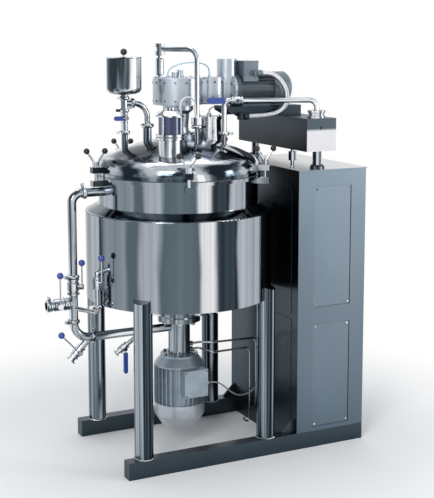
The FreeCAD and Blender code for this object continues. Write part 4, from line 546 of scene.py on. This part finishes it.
# %% [markdown]
# ## Rows of corners and a skin
# Small fasteners make the size of a machine readable. They are built in bmesh: a row of
# corners goes round, the next row stands above it or beside it, and a skin of faces joins
# the rows. The same few helpers later make doors, weld beads, grilles and the conduit.

# %% Mesh helpers
def turned(radius, angle, height=0.0):
    """A corner at a radius and an angle about Z."""
    return Vector((radius * math.cos(angle), radius * math.sin(angle), height))


def standing(place, direction):
    """The matrix that stands a shape at a place, its Z along a direction."""
    spin = Vector((0, 0, 1)).rotation_difference(Vector(direction)).to_matrix().to_4x4()
    return Matrix.Translation(place) @ spin


def skin(work, rows, ends="capped"):
    """Faces between rows of corners. The ends are capped, open, or joined to each other."""
    followers = rows[1:] + rows[:1] if ends == "joined" else rows[1:]
    for row, after in zip(rows, followers):
        for index in range(len(row)):
            step = (index + 1) % len(row)
            work.faces.new((row[index], row[step], after[step], after[index]))
    if ends == "capped":
        work.faces.new(rows[0])
        work.faces.new(rows[-1])


def settle(mesh_data, name, material, body):
    """Turn a bmesh into a finished piece that rides on a body."""
    mesh = bpy.data.meshes.new(name)
    bmesh.ops.recalc_face_normals(mesh_data, faces=mesh_data.faces)
    mesh_data.to_mesh(mesh)
    mesh_data.free()
    smooth(mesh)
    mesh.materials.append(material)
    piece = bpy.data.objects.new(name, mesh)
    bpy.context.scene.collection.objects.link(piece)
    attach(piece, body)
    return piece


def turned_shape(work, outline, sides, place, direction, turn=0.0, ends="capped"):
    """A shape from (radius, height) levels, standing at a place along a direction."""
    stand = standing(place, direction)
    angles = [turn + 2 * math.pi * index / sides for index in range(sides)]
    rows = [[work.verts.new(stand @ turned(radius, angle, height)) for angle in angles]
            for radius, height in outline]
    skin(work, rows, ends)


# %% [markdown]
# ## Heads and nuts
# A nut is a hexagon with a chamfered crown on a round washer, and a socket screw is a disc
# with a well. Each is a short list of levels in shares of its own size, and each nut of a
# ring is turned a little more than the last, as a fitter leaves them. One mesh holds all
# screws of a joint, so that the scene stays light.

# %% Screw heads and nuts
WASHER_SIDES = 20
SOCKET_SIDES = 14
SUNK = 0.001
TURN_BETWEEN = 0.7


def hexagon(work, place, direction, size, tall, turn):
    """A nut or bolt head of a given width over its corners, on its washer."""
    half = size / 2
    washer_top = tall * 0.16
    washer = [(half * 1.02, 0), (half * 1.30, 0), (half * 1.30, washer_top), (half * 1.02, washer_top)]
    turned_shape(work, washer, WASHER_SIDES, place, direction)
    head = [(half * 0.96, tall * 0.15), (half, tall * 0.22), (half, tall * 0.86), (half * 0.84, tall)]
    turned_shape(work, head, 6, place, direction, turn)


def socket_screw(work, place, direction, size, tall):
    """A round screw head with a well in its top, its foot sunk a little into what it holds."""
    half, well = size / 2, size / 4
    outline = [(half, -SUNK), (half, tall * 0.75), (half * 0.86, tall), (well, tall), (well, tall * 0.35)]
    turned_shape(work, outline, SOCKET_SIDES, place, direction)


def fasteners(name, kind, places, direction, size, tall, body, material=None):
    """All screws of one joint. direction is one vector, or a function of the place."""
    work = bmesh.new()
    for count, place in enumerate(places):
        way = direction(place) if callable(direction) else direction
        if kind == "hex":
            hexagon(work, place, way, size, tall, count * TURN_BETWEEN)
        else:
            socket_screw(work, place, way, size, tall)
    print("{}: {} pieces".format(name, len(places)))
    return settle(work, name, material or FITTING, body)


def circle_of(count, radius, centre, start=0.0, axis="z"):
    """Places on a circle about the frame's z or x axis; radius in metres, start in degrees."""
    places = []
    for index in range(count):
        step = turned(radius, math.radians(start) + 2 * math.pi * index / count)
        places.append(centre + (step if axis == "z" else step.zxy))
    return places


def outward(place):
    """Away from the pot axis."""
    return Vector((place.x - POT_X, place.y, 0)).normalized()


UP, DOWN = Vector((0, 0, 1)), Vector((0, 0, -1))
RIGHT, LEFT = Vector((1, 0, 0)), Vector((-1, 0, 0))
FRONT = Vector((0, -1, 0))

# %% [markdown]
# ## Fasteners on the drive and the lid
# The drum of the stirrer drive has two rows of dark socket screws round its side, seen
# clearly in the photograph, and a ring of screws on its top. The pedestal is bolted to
# the lid, and the round gear neck carries the same rows of screws. The drum's rows leave
# out the sector where the neck joins it, and the neck has its screws on the front only.

# %% Drive fasteners
ROW_HEIGHTS = (2092, 2198)
DRUM_FREE_X = POT_X + 0.115
GEAR_X = 218
GEAR_FREE_Y = -0.05
DRUM_TOP = at(0, 0, 2226)
PEDESTAL_FOOT = at(0, 0, 1894.5)
MOTOR_FLANGE = at(330, 0, 2152)
DRIVE_BOX_CORNERS = [at(x, y, 2320) for x in (394, 476) for y in (-87, 37)]
LAMP_FLANGE = at(222, 40, 1990)
SIGHT_FLANGE = at(-172, -270, 2033)


def from_gear(place):
    """Away from the axis of the gear neck."""
    return (place - at(GEAR_X, 0, place.z * 1000)).normalized()


drum_places, gear_places = [], []
for height in ROW_HEIGHTS:
    drum_places += circle_of(14, 0.147, at(0, 0, height), start=8)
    gear_places += circle_of(10, 0.0775, at(GEAR_X, 0, height), start=-100)
drum_places = [place for place in drum_places if place.x < DRUM_FREE_X]
gear_places = [place for place in gear_places if place.y < GEAR_FREE_Y]
fasteners("drum_side_screws", "socket", drum_places, outward, size=0.013, tall=0.0025,
          body="lifting_lid", material=BLACK)
fasteners("drum_top_screws", "socket", circle_of(12, 0.132, DRUM_TOP), UP,
          size=0.014, tall=0.007, body="lifting_lid")
fasteners("pedestal_bolts", "hex", circle_of(10, 0.093, PEDESTAL_FOOT, start=18), UP,
          size=0.021, tall=0.013, body="lifting_lid")
fasteners("gear_side_screws", "socket", gear_places, from_gear, size=0.012, tall=0.0025,
          body="lifting_lid", material=BLACK)
fasteners("motor_flange_bolts", "hex", circle_of(8, 0.0905, MOTOR_FLANGE, start=22.5, axis="x"), LEFT,
          size=0.017, tall=0.010, body="lifting_lid")
fasteners("stirrer_box_screws", "socket", DRIVE_BOX_CORNERS, UP, size=0.011, tall=0.004, body="lifting_lid")
fasteners("lamp_screws", "socket", circle_of(6, 0.068, LAMP_FLANGE), UP,
          size=0.012, tall=0.007, body="lifting_lid")
fasteners("sight_nuts", "hex", circle_of(4, 0.072, SIGHT_FLANGE, start=32), UP,
          size=0.016, tall=0.012, body="lifting_lid")

# %% [markdown]
# ## Fasteners on the frame
# The flanges under the pot are held by a ring of nuts that is seen from below. The motor
# bell, the terminal box and the cabinet's panels have their own screws.

# %% Frame fasteners
POT_FLANGE = at(0, 0, 772)
BELL_FLANGE = at(0, 0, 566)
BOX_CORNERS = [at(x, -215, z) for x in (-50, 80) for z in (356, 499)]
PANEL_CORNERS = [at(x, -425, z) for x in (700, 924) for z in (880, 1572, 142, 744)]
fasteners("bottom_flange_nuts", "hex", circle_of(8, 0.114, POT_FLANGE, start=22.5), DOWN,
          size=0.024, tall=0.014, body="frame")
fasteners("bell_bolts", "hex", circle_of(6, 0.098, BELL_FLANGE, start=10), UP,
          size=0.020, tall=0.012, body="frame")
fasteners("mixer_box_screws", "socket", BOX_CORNERS, FRONT, size=0.012, tall=0.004, body="frame")
fasteners("panel_screws", "socket", PANEL_CORNERS, FRONT, size=0.013, tall=0.004, body="frame")

# %% [markdown]
# ## Service doors
# Two thin doors close the side of the cabinet that faces the pot, and two more the far
# side. A door is a plate with rounded corners and a chamfered front edge. The doors on
# the near side take the dark tone of that side, which is painted shade and a painted
# reflection of the pot.

# %% Doors
CABINET_NEAR = 577
CABINET_FAR = (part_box("cabinet_shell")[1].x - POT_X) * 1000
UPPER_DOOR = (820, 1590)
LOWER_DOOR = (150, 790)
DOOR_THICK = 2.5
DOOR_CHAMFER = 0.7
DOOR_ROUND = 12
ROUND_STEPS = 4
NEAR_HALF = 352
FAR_HALF = 340


def door(name, side_x, way, half_wide, heights, material):
    """A thin plate on a side of the cabinet, in millimetres. way is 1 towards +X, else -1."""
    middle, half_tall = (heights[0] + heights[1]) / 2, (heights[1] - heights[0]) / 2
    corners = []
    for sign_y, sign_z, start in ((1, 1, 0), (-1, 1, 90), (-1, -1, 180), (1, -1, 270)):
        for step in range(ROUND_STEPS + 1):
            angle = math.radians(start + 90 * step / ROUND_STEPS)
            corners.append((sign_y * (half_wide - DOOR_ROUND) + DOOR_ROUND * math.cos(angle),
                            sign_z * (half_tall - DOOR_ROUND) + DOOR_ROUND * math.sin(angle)))
    work = bmesh.new()
    rows = []
    for rise, inset in ((0, 0), (DOOR_THICK - DOOR_CHAMFER, 0), (DOOR_THICK, DOOR_CHAMFER)):
        shrink_y, shrink_z = 1 - inset / half_wide, 1 - inset / half_tall
        rows.append([work.verts.new(at(side_x + rise * way, y * shrink_y, middle + z * shrink_z))
                     for y, z in corners])
    skin(work, rows)
    return settle(work, name, material, "frame")


# The near doors are painted shade, like their side.
door("side_door_upper", CABINET_NEAR, -1, NEAR_HALF, UPPER_DOOR, SHADED_SIDE)
door("side_door_lower", CABINET_NEAR, -1, NEAR_HALF, LOWER_DOOR, SHADED_SIDE)
door("far_door_upper", CABINET_FAR, 1, FAR_HALF, UPPER_DOOR, PANEL)
door("far_door_lower", CABINET_FAR, 1, FAR_HALF, LOWER_DOOR, PANEL)
FAR_CORNERS = [at(CABINET_FAR + DOOR_THICK, y, z) for y in (-322, 322) for z in (838, 1572, 168, 772)]
fasteners("far_door_screws", "socket", FAR_CORNERS, RIGHT, size=0.013, tall=0.004, body="frame")
print("doors: 4")

# %% [markdown]
# ## Weld beads and wipers
# Each leg is welded to its skid. A real bead is a row of overlapping ripples, so the ring
# is swollen and pinched as it goes round. Where a lift column leaves its bush, a rubber
# wiper keeps dirt out.

# %% Rings
SECTION_SIDES = 8
RIPPLES = 40
LEG_X = 391
LEG_Y = 375
SKID_TOP = 98.5
COLUMN_X = 726
COLUMN_Y = 382
BUSH_TOP = 1709


def ring(work, centre, inner, outer, tall, sides=72, ripple=0.0):
    """A ring of rounded section about Z, rippled along its way if asked."""
    middle, half = (inner + outer) / 2, (outer - inner) / 2
    rows = []
    for index in range(sides):
        angle = 2 * math.pi * index / sides
        swell = 1 + ripple * math.sin(angle * RIPPLES)
        row = []
        for part in range(SECTION_SIDES):
            bend = 2 * math.pi * part / SECTION_SIDES
            radius = middle + half * swell * math.cos(bend)
            height = tall / 2 * (1 + swell * math.sin(bend))
            row.append(work.verts.new(centre + turned(radius, angle, height)))
        rows.append(row)
    skin(work, rows, ends="joined")


beads = bmesh.new()
for x in (-LEG_X, LEG_X):
    for y in (-LEG_Y, LEG_Y):
        ring(beads, at(x, y, SKID_TOP), inner=0.0525, outer=0.0595, tall=0.007, sides=160, ripple=0.18)
settle(beads, "leg_weld_beads", FITTING, "frame")
wipers = bmesh.new()
for y in (-COLUMN_Y, COLUMN_Y):
    ring(wipers, at(COLUMN_X, y, BUSH_TOP), inner=0.0292, outer=0.0375, tall=0.006)
settle(wipers, "column_wipers", RUBBER, "frame")
print("weld beads: 4, wipers: 2")

# %% [markdown]
# ## Fan grilles
# A fan cowl draws its air through a grille of wire rings held by spokes. Each wire is a
# thin torus, bent from a circle of circles.

# %% Grilles
WIRE = 0.0011
WIRE_SIDES = 6
RING_SIDES = 40
FIRST_RING = 0.006
RING_GAP = 0.008
SPOKES = 8
HUB = 0.003
STIRRER_FAN = at(722.5, 0, 2152)
HOMOGENIZER_FAN = at(0, 0, 134.5)


def wire_ring(work, centre, direction, radius):
    """One wire bent to a ring round a direction."""
    stand = standing(centre, direction)
    bends = [2 * math.pi * part / WIRE_SIDES for part in range(WIRE_SIDES)]
    rows = []
    for index in range(RING_SIDES):
        angle = 2 * math.pi * index / RING_SIDES
        corners = [turned(radius + WIRE * math.cos(bend), angle, WIRE * math.sin(bend)) for bend in bends]
        rows.append([work.verts.new(stand @ corner) for corner in corners])
    skin(work, rows, ends="joined")


def grille(name, centre, direction, reach, body):
    """Rings and spokes of wire in front of a fan."""
    work = bmesh.new()
    for index in range(int(reach / RING_GAP)):
        wire_ring(work, centre, direction, FIRST_RING + index * RING_GAP)
    side = direction.orthogonal().normalized()
    for index in range(SPOKES):
        spoke = Matrix.Rotation(2 * math.pi * index / SPOKES, 3, direction) @ side
        turned_shape(work, [(WIRE, HUB), (WIRE, reach + HUB)], WIRE_SIDES, centre, spoke, ends="open")
    return settle(work, name, COWL, body)


grille("stirrer_fan_grille", STIRRER_FAN, RIGHT, reach=0.030, body="lifting_lid")
grille("homogenizer_fan_grille", HOMOGENIZER_FAN, DOWN, reach=0.040, body="frame")
print("grilles: 2")

# %% [markdown]
# ## Cables, a hose and a conduit
# A cable is one smooth curve. A NURBS spline takes the points of its route as control
# points and passes near them without a kink. The order and the end points are set after
# the points are there, because Blender corrects them against the number of points. The
# cable's length is measured on the same curve before it gets its thickness.

# %% Routes
ROUTES = {
    "homogenizer_cable": [
        (108, -182, 415), (140, -182, 415), (178, -178, 403), (216, -170, 376), (256, -158, 340),
        (300, -144, 306), (350, -128, 284), (404, -112, 280), (454, -98, 293), (500, -76, 315),
        (532, -50, 330), (563, -50, 330)],
    "motor_conduit": [
        (494, -116, 2247), (520, -116, 2247), (552, -119, 2244), (586, -124, 2230), (618, -130, 2204),
        (642, -135, 2169), (656, -139, 2128), (657, -142, 2086), (642, -144, 2048), (612, -145, 2021),
        (572, -145, 2005), (526, -144, 1998), (478, -143, 1995), (432, -142, 1994), (392, -142, 1994)],
    "sight_cable": [
        (-120, -292, 2060), (-120, -292, 2080), (-113, -286, 2100), (-94, -274, 2117), (-66, -259, 2126),
        (-36, -243, 2124), (-9, -228, 2111), (8, -216, 2089), (15, -208, 2062), (16, -207, 2036),
        (16, -207, 2014)],
    "lamp_cable": [
        (222, 40, 2008), (222, 40, 2022), (228, 38, 2033), (239, 35, 2041), (253, 33, 2045), (268, 32, 2043),
        (286, 32, 2043)],
    "air_hose": [
        (-90, -55, 2240), (-90, -55, 2262), (-76, -66, 2284), (-46, -86, 2302), (-8, -108, 2313),
        (34, -124, 2317), (76, -124, 2314), (114, -108, 2306), (146, -84, 2296), (170, -61, 2280),
        (180, -50, 2260), (180, -50, 2239)],
}


def route_curve(name, route, thickness):
    """A round cable along a route; with no thickness it is the bare line."""
    curve = bpy.data.curves.new(name, "CURVE")
    curve.dimensions = "3D"
    curve.resolution_u = 12
    curve.bevel_depth = thickness / 2
    curve.bevel_resolution = 5
    curve.use_fill_caps = True
    spline = curve.splines.new("NURBS")
    spline.points.add(len(route) - 1)
    for point, place in zip(spline.points, route):
        point.co = (*at(*place), 1)
    spline.order_u = 3
    spline.use_endpoint_u = True
    piece = bpy.data.objects.new(name, curve)
    bpy.context.scene.collection.objects.link(piece)
    return piece


def centre_line(curve_piece):
    """Points along a curve that has no bevel yet."""
    mesh = bpy.data.meshes.new_from_object(curve_piece)
    points = [vertex.co.copy() for vertex in mesh.vertices]
    bpy.data.meshes.remove(mesh)
    return points


def length_of(points):
    """The length of a line of points."""
    return sum((b - a).length for a, b in zip(points, points[1:]))


def hang(name, thickness, body, material):
    """One cable along its route, in place of its solid."""
    line = centre_line(route_curve("measure_" + name, ROUTES[name], 0.0))
    bpy.data.objects.remove(bpy.data.objects["measure_" + name])
    piece = route_curve(name + "_run", ROUTES[name], thickness)
    piece.data.materials.append(material)
    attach(piece, body)
    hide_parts(name)
    print("{}: {:.0f} mm".format(name, length_of(line) * 1000))


hang("homogenizer_cable", 0.009, "frame", GREY_CABLE)
hang("sight_cable", 0.008, "lifting_lid", WHITE_CABLE)
hang("lamp_cable", 0.006, "lifting_lid", CABLE)
hang("air_hose", 0.008, "lifting_lid", HOSE)

# %% [markdown]
# ## A wound conduit
# The conduit of the drive motor is a hose wound from metal strip. Its ribs are real rings
# along the route, not a bump, so that its edge is ribbed too. The line is cut into even
# steps, a few for each winding, and the radius of the rings repeats the winding's section.

# %% Ribbed conduit
RIB_PITCH = 0.0066
RIB_SECTION = (1.0, 0.985, 0.93, 0.985)


def evenly(points, step):
    """Points a fixed step apart along a line of points."""
    spaced, rest = [points[0]], step
    for start, end in zip(points, points[1:]):
        run = (end - start).length
        while rest < run:
            spaced.append(start.lerp(end, rest / run))
            rest += step
        rest -= run
    spaced.append(points[-1])
    return spaced


def ribbed_tube(name, line, radius, sides=20):
    """Rings along a line whose radius swells once for each winding."""
    work = bmesh.new()
    rows = []
    side = (line[1] - line[0]).orthogonal().normalized()
    for index, place in enumerate(line):
        ahead = (line[min(index + 1, len(line) - 1)] - line[max(index - 1, 0)]).normalized()
        side = (side - ahead * side.dot(ahead)).normalized()
        other = ahead.cross(side)
        reach = radius * RIB_SECTION[index % len(RIB_SECTION)]
        row = []
        for part in range(sides):
            angle = 2 * math.pi * part / sides
            spoke = side * math.cos(angle) + other * math.sin(angle)
            row.append(work.verts.new(place + spoke * reach))
        rows.append(row)
    skin(work, rows)
    return settle(work, name, CONDUIT, "lifting_lid")


conduit_route = route_curve("measure_conduit", ROUTES["motor_conduit"], 0.0)
conduit_line = evenly(centre_line(conduit_route), RIB_PITCH / len(RIB_SECTION))
bpy.data.objects.remove(conduit_route)
conduit = ribbed_tube("motor_conduit_ribbed", conduit_line, 0.016)
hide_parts("motor_conduit")
print("conduit: {:.0f} mm, {} rings".format(length_of(conduit_line) * 1000, len(conduit_line)))

# %% [markdown]
# ## Floor, world and lamps
# The picture has a plain white ground. The world is white to the camera, in reflections
# and through glass, and dimmer as a light, so the machine isn't washed out. The floor
# keeps its shadows near the machine and fades to white farther out, so that no horizon
# is seen or mirrored. A large soft lamp at the front left makes the bright side of every
# tube, a weaker one fills the right, and a faint one above draws the upper edges.

# %% Studio
FLOOR_FADE = (1.1, 2.6)


def seen_by(tree, *kinds):
    """1 for rays of these kinds and 0 for all others."""
    rays = add(tree, "ShaderNodeLightPath").outputs
    share = rays["Is {} Ray".format(kinds[0])]
    for kind in kinds[1:]:
        share = reckon(tree, "MAXIMUM", share, rays["Is {} Ray".format(kind)])
    return share


def make_world():
    world = bpy.data.worlds.new("studio")
    bpy.context.scene.world = world
    world.use_nodes = True
    tree = world.node_tree
    tree.nodes.clear()
    seen = seen_by(tree, "Camera", "Glossy", "Transmission")
    dim = add(tree, "ShaderNodeBackground", i0=(0.92, 0.96, 1.0, 1), i1=0.62)
    white = add(tree, "ShaderNodeBackground", i0=(1, 1, 1, 1), i1=1.0)
    mixed = add(tree, "ShaderNodeMixShader", i0=seen, i1=dim.outputs[0], i2=white.outputs[0])
    add(tree, "ShaderNodeOutputWorld", i0=mixed.outputs[0])


def make_floor():
    work = bmesh.new()
    bmesh.ops.create_grid(work, x_segments=1, y_segments=1, size=30)
    mesh = bpy.data.meshes.new("floor")
    work.to_mesh(mesh)
    work.free()
    floor = bpy.data.objects.new("floor", mesh)
    bpy.context.scene.collection.objects.link(floor)
    material, tree, shader = new_finish("floor_white", 0.75)
    place = coordinates(tree, "Object")
    tone = ramp(tree, noise(tree, place, 0.6, 2), [(0.3, (0.90, 0.905, 0.91)), (0.7, (0.93, 0.93, 0.93))])
    tree.links.new(tone, shader.inputs["Base Color"])
    away = add(tree, "ShaderNodeVectorMath", {"operation": "LENGTH"}, i0=place).outputs["Value"]
    far = climb(tree, away, *FLOOR_FADE, way="SMOOTHSTEP")
    share = reckon(tree, "MULTIPLY", far, seen_by(tree, "Camera", "Glossy"))
    white = add(tree, "ShaderNodeEmission", i0=(1, 1, 1, 1), i1=1.0)
    mixed = add(tree, "ShaderNodeMixShader", i0=share, i1=shader.outputs[0], i2=white.outputs[0])
    tree.links.new(mixed.outputs[0], tree.nodes["Material Output"].inputs["Surface"])
    mesh.materials.append(material)


def make_softbox(name, place, target, size, power):
    """A rectangular lamp that looks at a target."""
    lamp = bpy.data.lights.new(name, "AREA")
    lamp.shape = "RECTANGLE"
    lamp.size, lamp.size_y = size
    lamp.energy = power
    holder = bpy.data.objects.new(name, lamp)
    bpy.context.scene.collection.objects.link(holder)
    holder.location = place
    holder.rotation_euler = (Vector(target) - Vector(place)).to_track_quat("-Z", "Y").to_euler()


make_world()
make_floor()
make_softbox("key", (-4.2, -4.6, 4.4), target=(0, 0, 1.2), size=(2.2, 3.0), power=190)
make_softbox("fill", (4.6, -4.0, 2.6), target=(0, 0, 1.2), size=(1.6, 2.8), power=70)
make_softbox("top", (0.2, 1.0, 5.6), target=(0, 0, 1.0), size=(3.0, 2.0), power=45)
bpy.context.scene.view_settings.view_transform = "Standard"
print("lamps: 3")
